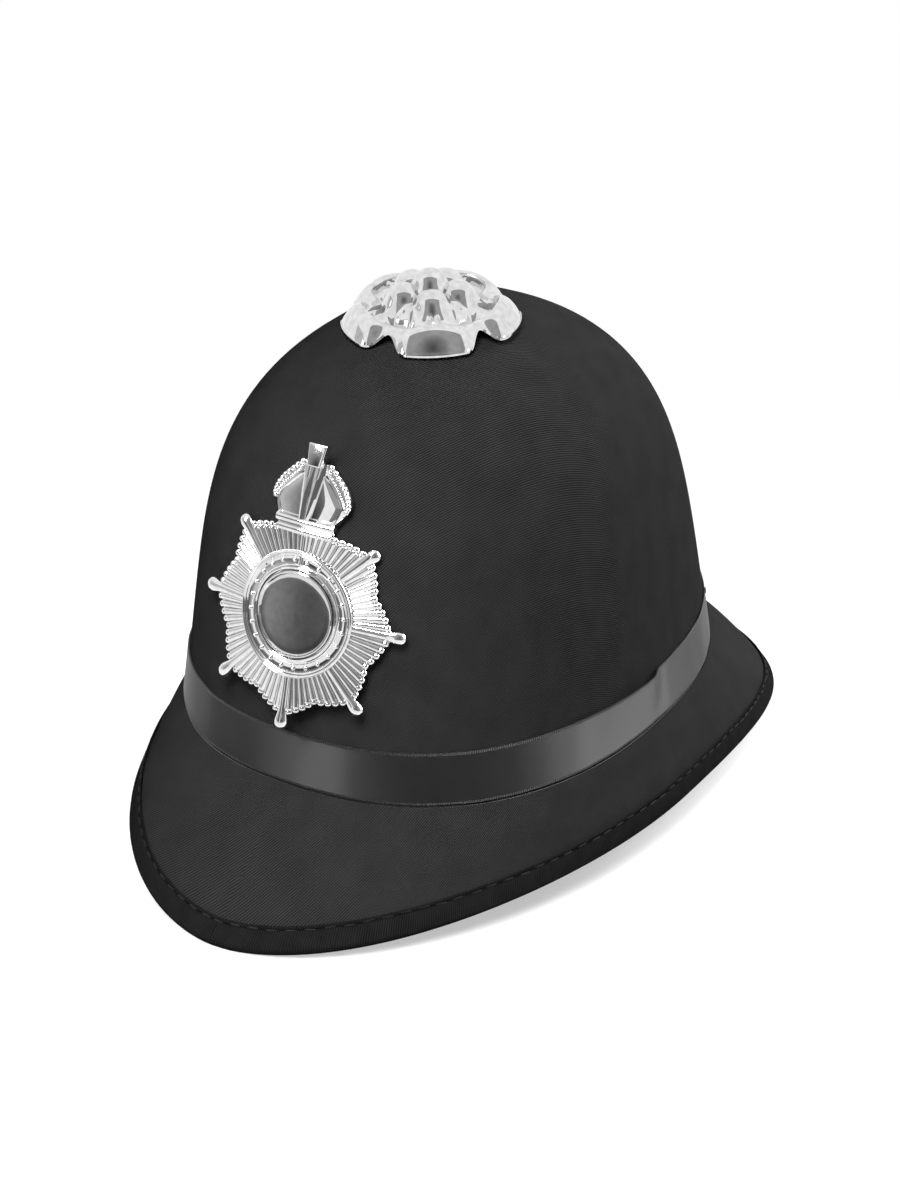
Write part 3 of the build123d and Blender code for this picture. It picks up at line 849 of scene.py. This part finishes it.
crown_up = crown_frame.to_3x3() @ Vector((0, 0, 1))
lay_threads(
    "binding_threads",
    thread_bar("binding_thread", stitch_length, stitch_diameter),
    seam_places(binding_seam, stitch_pitch),
    binding_seam,
    binding_across,
    stitch_diameter * 0.25,
    "binding_stitches",
    uneven=0.35 * MM,
)
lay_threads(
    "sweatband_threads",
    thread_bar("sweatband_thread", sweatband_stitch_length, stitch_diameter),
    seam_places(sweatband_seam, sweatband_stitch_pitch),
    sweatband_seam,
    lambda angle: crown_up,
    stitch_diameter * 0.2,
    "sweatband_stitches",
    uneven=0.2 * MM,
)
lay_threads(
    "ribbon_tack_threads",
    thread_bar("tack_thread", tack_length, stitch_diameter * 1.2),
    [radians(angle) for angle in tack_angles],
    tack_place,
    lambda angle: -crown_up,
    stitch_diameter * 0.2,
    "band_tacks",
    uneven=0.2 * MM,
)


# Badge: its pieces are made flat, bent round an upright cylinder and set on the crown

def dome_front(height):
    """Place of the crown's front at a height, along its length."""
    half_width, half_length, middle = dome_oval(height, 0)
    return middle - half_length


badge_run = dome_front(badge_height + badge_lean_run) - dome_front(badge_height)
badge_pitch = atan2(badge_run, badge_lean_run) - crown_pitch
badge_out = Vector((0, -cos(badge_pitch), sin(badge_pitch)))
badge_up = Vector((0, sin(badge_pitch), cos(badge_pitch)))
badge_origin = crown_point(0, badge_height, 0) + badge_out * badge_stand
badge_turned = Matrix((Vector((1, 0, 0)), -badge_out, badge_up)).transposed().to_4x4()
badge_frame = Matrix.Translation(badge_origin) @ badge_turned


def set_badge(piece, node, material=None, angle=radians(35)):
    """Bend a flat piece (X across, Y up, Z out) round the badge's cylinder and set it on."""
    put(piece, Matrix.Rotation(pi / 2, 4, "X"))
    across = [vertex.co.x for vertex in piece.data.vertices]
    turn = (max(across) - min(across)) / badge_wrap_radius
    add_modifier(piece, "SIMPLE_DEFORM", deform_method="BEND", deform_axis="Z", angle=turn)
    put(piece, badge_frame)
    shade(piece, material or chrome, angle)
    return place(piece, node, slot="chrome_plate")


def spoke(angle, radius):
    """Matrix that takes Y out along a spoke of the star, counted from its foot."""
    return Matrix.Rotation(angle + pi, 4, "Z") @ Matrix.Translation((0, radius, 0))


def round_bar(name, profile, height_share, cut):
    """Bar turned along Y that ends at the origin, flattened, and cut off under a depth."""
    end = profile[-1][1]
    bar = lathe(name, [(radius * MM, (along - end) * MM) for radius, along in profile], 18)
    flat = Matrix.Diagonal((1, 1, height_share, 1)) @ Matrix.Rotation(-pi / 2, 4, "X")
    put(bar, flat)
    edit(bar)
    bpy.ops.mesh.bisect(plane_co=(0, 0, cut), plane_no=(0, 0, 1), use_fill=True, clear_inner=True)
    end_outwards()
    return bar


# Star: a plate with a ring of turned rays on it and a longer point on every tenth
shoulder_drop = (0, 0, 0.9 * MM, 1.8 * MM, 2.7 * MM, 3.6 * MM)
plate_edge_from = 29.5 * MM
plate_setback = 1.0 * MM
tip_reaches = (40.4, 40.2, 40.2, 38.6, 35.0, 38.8, 41.2, 41.0)
ray_profile = (
    (0.84, 0), (1.2, 11.2), (1.21, 11.6), (1.1, 11.8), (1.12, 12.0), (1.28, 12.25),
    (1.28, 12.8), (1.1, 13.2), (0.7, 13.5), (0.3, 13.6), (0.02, 13.62),
)
tip_profile = (
    (1.35, 0), (1.6, 11.5), (1.7, 13), (1.95, 14.5), (2.3, 15.9), (2.45, 17.1),
    (2.3, 18.3), (1.8, 19.15), (1.0, 19.65), (0.02, 19.8),
)
plate_radii = (6, 12, 18, 24, 30)
plate_profile = [(radius * MM, 0) for radius in plate_radii]
plate_profile += [(radius * MM, star_back) for radius in reversed(plate_radii)]
plate = lathe("star_plate", plate_profile, star_rays)
close_ends(plate)


def ray_class(turn):
    """Steps from a spoke of the star to the nearest of its points."""
    number = round(turn / FULL_TURN * star_rays) % star_rays
    between = star_rays // star_points
    return min(number % between, between - number % between)


def out_to_rays(place_in):
    """Move the plate's edge to just short of the outer ends of the rays."""
    reach = hypot(place_in.x, place_in.y)
    if reach < plate_edge_from:
        return place_in
    turn = atan2(place_in.x, -place_in.y) % FULL_TURN
    wide = star_shoulder_radius - shoulder_drop[ray_class(turn)] - plate_setback
    return Vector((place_in.x * wide / reach, place_in.y * wide / reach, place_in.z))


mould(plate, out_to_rays)
ray_places = []
for number in range(star_rays):
    turn = FULL_TURN * number / star_rays
    kind = ray_class(turn)
    if kind:
        ray_places.append(spoke(turn, star_shoulder_radius - shoulder_drop[kind]))
rays = copies(round_bar("star_ray", ray_profile, 0.95, -0.1 * MM), ray_places)
tip_places = []
for number, reach in enumerate(tip_reaches):
    tip_places.append(spoke(FULL_TURN * number / star_points, reach * MM))
tips = copies(round_bar("star_point", tip_profile, 0.85, -0.8 * MM), tip_places)
set_badge(join("star_of_rays", [plate] + rays + tips), "badge_star")

# Ring with two rims and a circle of pellets, and the dished disc inside it
ring_profile = (
    (15.2, -0.3), (15.2, 1.2), (15.35, 1.6), (15.65, 1.8), (15.95, 1.65), (16.1, 1.35), (16.4, 1.3),
    (16.65, 1.42), (16.9, 1.3), (17.1, 1.0), (17.6, 0.86), (18.4, 0.8), (19.2, 0.86), (19.7, 1.0),
    (19.9, 1.3), (20.15, 1.42), (20.4, 1.3), (20.6, 1.35), (20.8, 1.7), (21.15, 1.9), (21.5, 1.75),
    (21.75, 1.35), (21.8, 0.9), (21.8, -0.3), (15.2, -0.3),
)
rimmed_ring = lathe("rimmed_ring", in_mm(ring_profile), 128, "NOTHING")
pellet_profile = ((0.8, -0.3), (0.78, 0.1), (0.62, 0.42), (0.32, 0.6), (0.01, 0.66))
pellet = lathe("pellet", in_mm(pellet_profile), 12)
pellet_count = 24
pellet_circle = 18.4 * MM
pellet_seat = 0.85 * MM
pellet_places = []
for number in range(pellet_count):
    turn = FULL_TURN * (number + 0.5) / pellet_count
    centre = (pellet_circle * sin(turn), pellet_circle * cos(turn), pellet_seat)
    pellet_places.append(Matrix.Translation(centre))
set_badge(join("ring_with_pellets", [rimmed_ring] + copies(pellet, pellet_places)), "badge_ring")

disc_profile = (
    (14.8, -0.3), (14.8, 1.3), (14.65, 1.6), (14.3, 1.75), (13.95, 1.65), (13.75, 1.35), (13.5, 1.08),
    (13, 1.0), (11.5, 0.95), (9, 0.91), (6, 0.88), (3, 0.865), (0.01, 0.86),
)
dished_disc = lathe("dished_disc", in_mm(disc_profile), 128)
set_badge(dished_disc, "badge_disc", disc_chrome_painted_reflection)

# Arched crown: a bulged body with sunk panels, ribs, pearls, two bands and a block on top. The
# tables give half widths at heights, and the depths and leans below them are in mm too
arch_width = (
    (33, 11.2), (36, 13), (39.5, 14.8), (42.5, 14.4), (45.5, 12.8), (48.5, 10), (51, 7), (52.4, 4.6),
)
panel_edge = ((33, 10.5), (36, 11.8), (39, 12.5), (41, 11.2), (45, 7.6), (48.6, 4.2), (52.4, 4.0))
rib_edge = ((33, 2.0), (48.6, 3.7), (52.4, 3.9))
arch_foot = 33 * MM
arch_head = 52.4 * MM
band_seat = 0.9 * MM
rib_share = 0.2
panel_share = 0.7
panel_margin = 0.01
panel_inset = 0.3 * MM
panel_sink = 0.7 * MM
arch_skirt = 1.6 * MM
arch_edge_depth = 1.0
arch_bulge = 2.6
arch_bulge_power = 2.6
arch_flattening = 0.7
rib_height = 0.75
rib_roundness = 0.6
arch_foot_lean = 0.5
arch_more_lean = 1.3


def arch_across(share, height):
    """Distance from the middle of the arched crown to a share of its half width."""
    unshaded_share = height / MM
    edges = (0, table_value(rib_edge, unshaded_share), table_value(panel_edge, unshaded_share), table_value(arch_width, unshaded_share))
    shares = (0, rib_share, panel_share, 1)
    size = abs(share)
    for i in range(3):
        if size <= shares[i + 1]:
            part = (size - shares[i]) / (shares[i + 1] - shares[i])
            reach = edges[i] + (max(edges[i + 1], edges[i]) - edges[i]) * part
            break
    return reach * MM * (1 if share > 0 else -1)


def arch_place(share, height):
    """Point of the arched crown's front at a share of its half width and a height."""
    bulge = 1 - abs(share) ** arch_bulge_power
    up_share = (height - arch_foot) / (arch_head - arch_foot)
    depth = arch_edge_depth + arch_bulge * bulge * (1 - arch_flattening * up_share**1.4)
    rib = rib_height * max(1 - abs(abs(share) - rib_share / 2) / (rib_share / 2), 0) ** rib_roundness
    lean = (arch_foot_lean + arch_more_lean * up_share) * MM
    return Vector((arch_across(share, height) + lean, height, (depth + rib) * MM))


def arch_rule(place_in):
    return arch_place(place_in.x, arch_foot + (arch_head - arch_foot) * (place_in.y + 1) / 2)


def in_panel(place_in):
    inner, outer = rib_share - panel_margin, panel_share + panel_margin
    return inner < abs(place_in.x) < outer and -0.9 < place_in.y < 0.6


deselect_all()
bpy.ops.mesh.primitive_grid_add(x_subdivisions=40, y_subdivisions=30, size=2)
arch_body = bpy.context.object
panel_faces = [face.index for face in arch_body.data.polygons if in_panel(face.center)]
mould(arch_body, arch_rule)
edit(arch_body)
bpy.ops.mesh.select_all(action="DESELECT")
bpy.ops.mesh.select_mode(type="FACE")
end_edit()
for number in panel_faces:
    arch_body.data.polygons[number].select = True
bpy.ops.object.mode_set(mode="EDIT")
bpy.ops.mesh.inset(thickness=panel_inset, depth=-panel_sink)
bpy.ops.mesh.select_all(action="DESELECT")
bpy.ops.mesh.select_mode(type="EDGE")
bpy.ops.mesh.select_non_manifold()
bpy.ops.mesh.extrude_edges_move(TRANSFORM_OT_translate={"value": (0, 0, -arch_skirt)})
bpy.ops.mesh.edge_face_add()
end_outwards()


def pearl_row(name, size, steps, count, low, rise, crowding, share):
    """Round beads up both sides of the arched crown, closest at its foot; sizes in mm."""
    places = []
    for side in (1, -1):
        for number in range(count):
            height = (low + rise * (number / (count - 1)) ** crowding) * MM
            places.append(Matrix.Translation(arch_place(side * share, height)))
    deselect_all()
    bpy.ops.mesh.primitive_ico_sphere_add(subdivisions=steps, radius=size * MM / 2)
    pearl = bpy.context.object
    pearl.name = name
    return copies(pearl, places)


outer_pearls = pearl_row("outer_pearl", 1.9, 3, 11, 38.2, 13.4, 1.15, 0.93)
inner_pearls = pearl_row("inner_pearl", 1.05, 2, 15, 39.6, 10.8, 1.1, 0.79)


def crown_band(name, half_width, radius, height, depth_share):
    """Rounded bar across the foot of the arched crown; sizes in mm."""
    ends = ((0.3, 0), (0.8, 0.012), (1, 0.03), (1, 0.2), (1, 0.35), (1, 0.5))
    ends += ((1, 0.65), (1, 0.8), (1, 0.97), (0.8, 0.988), (0.3, 1))
    profile = [(radius * share * MM, 2 * half_width * along * MM) for share, along in ends]
    bar = lathe(name, profile, 20)
    close_ends(bar)
    shape = Matrix.Diagonal((1, 1, depth_share, 1)) @ Matrix.Rotation(pi / 2, 4, "Y")
    put(bar, shape @ Matrix.Translation((0, 0, -half_width * MM)))
    return put(bar, Matrix.Translation((0, height * MM, band_seat)))


upper_band = crown_band("upper_band", 11.4, 1.75, 31.7, 1.25)
lower_band = crown_band("lower_band", 10.8, 1.55, 28.6, 1.15)

block_size = (5.0 * MM, 7.6 * MM, 3.2 * MM)
block_flare = (1.36, 1, 1.1)
block_bevel = 0.45 * MM
block_place = (2.2 * MM, 54.7 * MM, 2.3 * MM)
block_lean = radians(-9)
deselect_all()
bpy.ops.mesh.primitive_cube_add(size=1)
block = bpy.context.object
put(block, Matrix.Diagonal((*block_size, 1)))
choose_places(block, lambda place_in: place_in.y > 0)
bpy.ops.transform.resize(value=block_flare, center_override=(0, 0, 0))
end_edit()
add_modifier(block, "BEVEL", width=block_bevel, segments=3)
put(block, Matrix.Translation(block_place) @ Matrix.Rotation(block_lean, 4, "X"))
arch_pieces = [arch_body, upper_band, lower_band, block] + outer_pearls + inner_pearls
set_badge(join("arched_crown", arch_pieces), "badge_crown", angle=radians(32))


# Rose boss: a thin pressed sheet with five lobes, petals, buds and a heart

def soft_more(first, second, soft):
    """The greater of two heights, with a soft fillet where they meet."""
    near = max(soft - abs(first - second), 0) / soft
    return max(first, second) + near * near * soft / 4


def ball(distance, radius, centre):
    """Height of a round bud's top at a distance from its middle."""
    edge = 0.88 * radius
    if distance < edge:
        return centre + sqrt(radius**2 - distance**2)
    return centre + sqrt(radius**2 - edge**2) - (distance - edge) * 1.85


# Sizes of the rose in mm, and turns from a petal's middle line in degrees
petal_reach = 31.2
notch_cut = 5.2
notch_turns = (19, 36)
notch_rim = 4.6
notch_rim_turns = (23, 36)
lip_share = 0.775
lip_height = 8.2
lip_fall = 2.6
lip_half_turn = 27
lip_step = 2.4
lip_step_run = (0.1, 0.9)
lip_step_turns = (22, 30)
middle_height = 9.4
middle_run = (1.5, 15)
cleft_turn = 36
hollow_reach = 18.4
hollow_depth = 4.2
hollow_half_sizes = (1.9, 5.0)
swell_reach = 12.8
swell_height = 2.3
swell_half_sizes = (3.4, 4.6)
stem_rib_place = 1.1
stem_rib_half = 0.9
stem_rib_height = 1.5
stem_start = (13, 15)
stem_end = (22.5, 24)
bud_place = 9.7
bud_radius = 5.7
bud_centre = 8.9
heart_radius = 5.4
heart_centre = 12.9
bud_fillet = 1.2
rose_thickness = 0.7 * MM


def rose_place(turn, share):
    """Point of the rose at a share of its reach, at a turn from a petal's middle line."""
    lobe = FULL_TURN / rose_lobes
    off = (turn + lobe / 2) % lobe - lobe / 2
    degrees_off = abs(off) * 180 / pi
    edge = petal_reach - notch_cut * blend_between(degrees_off, *notch_turns)
    rim = notch_rim * blend_between(degrees_off, *notch_rim_turns)
    reach = edge * share
    lip_reach = lip_share * edge
    lip = lip_height - lip_fall * min(degrees_off / lip_half_turn, 1) ** 2
    if reach > lip_reach:
        run = (reach - lip_reach) / (edge - lip_reach)
        height = rim + (lip - rim) * max(1 - (run / 0.9) ** 1.8, 0)
    else:
        inside = lip_reach - reach
        near_notch = blend_between(degrees_off, *lip_step_turns)
        step = lip_step * blend_between(inside, *lip_step_run) * (1 - near_notch)
        height = lip - step + (middle_height - lip + step) * blend_between(inside, *middle_run)
    lateral = reach * sin(off)
    along = reach * cos(off)
    # Hollow between two petals, and the swell inside it
    cleft = radians(cleft_turn) - abs(off)
    hollow_long, hollow_wide = hollow_half_sizes
    hollow = ((reach - hollow_reach) / hollow_long) ** 2 + (reach * sin(cleft) / hollow_wide) ** 2
    height -= hollow_depth * exp(-hollow)
    swell_long, swell_wide = swell_half_sizes
    inner = hypot(reach * sin(cleft) / swell_wide, (reach * cos(cleft) - swell_reach) / swell_long)
    height += swell_height * exp(-inner * inner)
    # Two ribs of the stem from the bud to the lip
    ribs = max(1 - abs(abs(lateral) - stem_rib_place) / stem_rib_half, 0)
    along_stem = blend_between(along, *stem_start) * (1 - blend_between(along, *stem_end))
    height += stem_rib_height * ribs * along_stem
    bud = ball(hypot(lateral, along - bud_place), bud_radius, bud_centre)
    height = soft_more(height, bud, bud_fillet)
    height = soft_more(height, ball(reach, heart_radius, heart_centre), bud_fillet)
    return Vector((reach * sin(turn) * MM, -reach * cos(turn) * MM, height * MM))


rose_rings = 84
rose_profile = [((rose_rings - step) / rose_rings, 0) for step in range(rose_rings)] + [(0.0005, 0)]
rose = lathe("rose_sheet", rose_profile, 260, "NOTHING")


def turned_rose_rule(place_in):
    turn = atan2(place_in.x, -place_in.y)
    flat = rose_place(turn - rose_turn, hypot(place_in.x, place_in.y))
    return Matrix.Rotation(rose_turn, 3, "Z") @ flat


mould(rose, turned_rose_rule)
edit(rose)
end_outwards()
add_modifier(rose, "SOLIDIFY", thickness=rose_thickness, offset=-1, use_even_offset=False)
tipped = Matrix.Rotation(rose_tip, 4, "X")
rose_seat = Matrix.Translation((0, -rose_forward, crown_height - rose_rim_drop))
put(rose, crown_frame @ rose_seat @ tipped)
shade(rose, rose_chrome, radians(50))
place(rose, "rose_boss", slot="chrome_plate")

# Pieces that stay as they are modelled
carried = {
    "crown_shell": core_board,
    "brim_core": core_board,
    "brim_wire": washer_steel,
    "badge_posts": bare_plastic,
    "rose_posts": bare_plastic,
    "badge_washers": washer_steel,
    "rose_washers": washer_steel,
}
for name, material in carried.items():
    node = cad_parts[name]
    node.data.materials.clear()
    node.data.materials.append(material)


# Camera, as the photograph was taken
camera_turn = radians(30.78)
camera_rise = radians(25.66)
camera_roll = radians(1.43)
camera_distance = 976.6 * MM
camera_focal_pixels = 2562.58
photo_height_pixels = 1200
sensor_width = 36
target_across = -1.257 * MM
target_up = 61.127 * MM


def direction(turn, rise):
    """Direction at a turn from the front towards +X and a rise over level."""
    return Vector((sin(turn) * cos(rise), -cos(turn) * cos(rise), sin(rise)))


camera_back = direction(camera_turn, camera_rise)
level_right = Vector((cos(camera_turn), sin(camera_turn), 0))
level_up = camera_back.cross(level_right)
right = level_right * cos(camera_roll) + level_up * sin(camera_roll)
up = level_up * cos(camera_roll) - level_right * sin(camera_roll)
target = level_right * target_across + level_up * target_up + Vector((0, crown_middle, 0))
camera_data = bpy.data.cameras.new("camera")
camera_data.sensor_width = sensor_width
camera_data.lens = camera_focal_pixels * sensor_width / photo_height_pixels
camera = bpy.data.objects.new("camera", camera_data)
turned = Matrix((right, up, camera_back)).transposed().to_4x4()
camera.matrix_world = Matrix.Translation(target + camera_back * camera_distance) @ turned
bpy.context.scene.collection.objects.link(camera)
bpy.context.scene.camera = camera


# Floor, world, lamps and dark cards

lamp_aim = Vector((0, 0, 0.08))
card_aim = Vector((0, 0, 0.1))
floor_radius = 1.6
floor_tone = 0.85
floor_bounce_loss = 0.45
world_tone = 0.05
# The floor's own glow grows with the distance: (from, to, least, most)
floor_fades = ((0.15, 0.24, 0.5, 0.93), (0.24, 0.5, 0.0, 0.07))


def lamp(name, bearing, rise, distance, width, height, power, mirrored=False, on_rose=False):
    """Softbox at a bearing from the front towards +X, aimed at the helmet.

    A mirrored lamp lights nothing and is only seen in glossy faces: in all but the rose's, or
    in the rose's alone.
    """
    data = bpy.data.lights.new(name, "AREA")
    data.shape = "RECTANGLE"
    data.size = width
    data.size_y = height
    data.energy = power
    made = bpy.data.objects.new(name, data)
    out = direction(radians(bearing), radians(rise))
    made.location = out * distance + lamp_aim
    made.rotation_euler = out.to_track_quat("Z", "Y").to_euler()
    made.visible_diffuse = not mirrored
    made.visible_glossy = mirrored
    bpy.context.scene.collection.objects.link(made)
    if mirrored:
        listed = bpy.data.collections.new(name + "_list")
        listed.objects.link(rose)
        made.light_linking.receiver_collection = listed
        listed.collection_objects[0].light_linking.link_state = "INCLUDE" if on_rose else "EXCLUDE"


def bearing_point(bearing, rise, distance):
    return direction(radians(bearing), radians(rise)) * distance + card_aim


def dark_card(name, bearing, rise, distance, width, height, dark_spot, tones, reach):
    """Card that only mirrors see, dark round a spot and lighter away from it."""
    centre = bearing_point(bearing, rise, distance)
    turned = (centre - card_aim).to_track_quat("Z", "Y").to_matrix().to_4x4()
    deselect_all()
    bpy.ops.mesh.primitive_plane_add(size=1)
    card = bpy.context.object
    card.name = name
    put(card, Matrix.Translation(centre) @ turned @ Matrix.Diagonal((width, height, 1, 1)))
    made = Finish(name)
    away = made.node("ShaderNodeVectorMath", ((0, made.places()), (1, dark_spot)), operation="DISTANCE")
    spread_out = (("From Min", reach[0]), ("From Max", reach[1]), ("To Min", tones[0]), ("To Max", tones[1]))
    tone = made.node("ShaderNodeMapRange", (("Value", away.outputs["Value"]),) + spread_out)
    made.set(Roughness=1.0, Specular_IOR_Level=0.0)
    made.shader.inputs["Base Color"].default_value = (0, 0, 0, 1)
    made.shader.inputs["Emission Strength"].default_value = 1.0
    made.link(tone.outputs["Result"], "Emission Color")
    card.data.materials.append(made.material)
    card.visible_camera = False
    card.visible_diffuse = False
    card.visible_shadow = False


deselect_all()
bpy.ops.mesh.primitive_circle_add(vertices=96, radius=floor_radius, fill_type="NGON")
floor = bpy.context.object
floor.name = "floor"
floor_finish = Finish("floor")
floor_finish.set(Roughness=0.9, Specular_IOR_Level=0.0)
glow = floor_finish.node("ShaderNodeEmission", (("Color", (1, 1, 1, 1)), ("Strength", 1.0)))
paths = floor_finish.node("ShaderNodeLightPath").outputs
darker = floor_finish.math("MULTIPLY", paths["Is Diffuse Ray"], floor_bounce_loss)
tone = floor_finish.math("SUBTRACT", floor_tone, darker)
floor_finish.link(tone, "Base Color")
seen = floor_finish.math("MAXIMUM", paths["Is Camera Ray"], paths["Is Glossy Ray"])
seen = floor_finish.math("MAXIMUM", seen, paths["Is Transmission Ray"])
reach = floor_finish.node("ShaderNodeVectorMath", ((0, floor_finish.places()),), operation="LENGTH")
fades = []
for near, far, low, high in floor_fades:
    fade_range = (("From Min", near), ("From Max", far), ("To Min", low), ("To Max", high))
    fades.append(floor_finish.node("ShaderNodeMapRange", (("Value", reach.outputs["Value"]),) + fade_range))
kept = floor_finish.math("ADD", fades[0].outputs["Result"], fades[1].outputs["Result"])
share = floor_finish.math("MULTIPLY", seen, kept)
both = floor_finish.node("ShaderNodeMixShader", (("Fac", share),))
floor_tree = floor_finish.tree
floor_tree.links.new(floor_finish.shader.outputs["BSDF"], both.inputs[1])
floor_tree.links.new(glow.outputs["Emission"], both.inputs[2])
floor_tree.links.new(both.outputs["Shader"], floor_tree.nodes["Material Output"].inputs["Surface"])
floor.data.materials.append(floor_finish.material)

world = bpy.data.worlds.new("studio")
world.use_nodes = True
bpy.context.scene.world = world
world_tree = world.node_tree
background = world_tree.nodes["Background"]
background.inputs["Color"].default_value = (*grey(world_tone), 1)
background.inputs["Strength"].default_value = 1.0
white = world_tree.nodes.new("ShaderNodeBackground")
white.inputs["Color"].default_value = (1, 1, 1, 1)
white.inputs["Strength"].default_value = 1.0
ray = world_tree.nodes.new("ShaderNodeLightPath")
mirrored = world_tree.nodes.new("ShaderNodeMath")
mirrored.operation = "MAXIMUM"
bare = world_tree.nodes.new("ShaderNodeMath")
bare.operation = "MAXIMUM"
choice = world_tree.nodes.new("ShaderNodeMixShader")
for source, target_socket in (
    (ray.outputs["Is Camera Ray"], mirrored.inputs[0]),
    (ray.outputs["Is Glossy Ray"], mirrored.inputs[1]),
    (mirrored.outputs[0], bare.inputs[0]),
    (ray.outputs["Is Transmission Ray"], bare.inputs[1]),
    (bare.outputs[0], choice.inputs["Fac"]),
    (background.outputs["Background"], choice.inputs[1]),
    (white.outputs["Background"], choice.inputs[2]),
    (choice.outputs["Shader"], world_tree.nodes["World Output"].inputs["Surface"]),
):
    world_tree.links.new(source, target_socket)

lamp("front_softbox", -12, 24, 1.4, 0.5, 0.6, 6)
lamp("camera_softbox", 19, 46, 1.5, 0.5, 0.5, 41)
lamp("rim_softbox", 160, 24, 1.3, 0.8, 0.5, 42)
lamp("front_strip", -28, 42, 1.4, 0.27, 1.3, 66, mirrored=True)
lamp("back_strip", 120, 30, 1.3, 1.05, 1.2, 74, mirrored=True)
lamp("left_window", -42, 12, 0.7, 0.2, 0.3, 0.7, mirrored=True, on_rose=True)
lamp("right_window", 102, 12, 0.7, 0.2, 0.3, 0.7, mirrored=True, on_rose=True)
dark_card("side_card", -44, 8, 0.75, 0.84, 0.44, bearing_point(-19, 3, 0.75), (0.025, 0.6), (0.06, 0.42))
dark_card("low_wide_card", 38, 4, 1.3, 2.4, 0.42, bearing_point(20, 0, 1.3), (0.14, 0.3), (0.3, 1.2))
dark_card("camera_card", 33, 42, 1.3, 2.3, 1.5, bearing_point(31, 27, 1.3), (0.06, 0.38), (0.0, 0.6))

bpy.context.scene.view_settings.view_transform = "Standard"
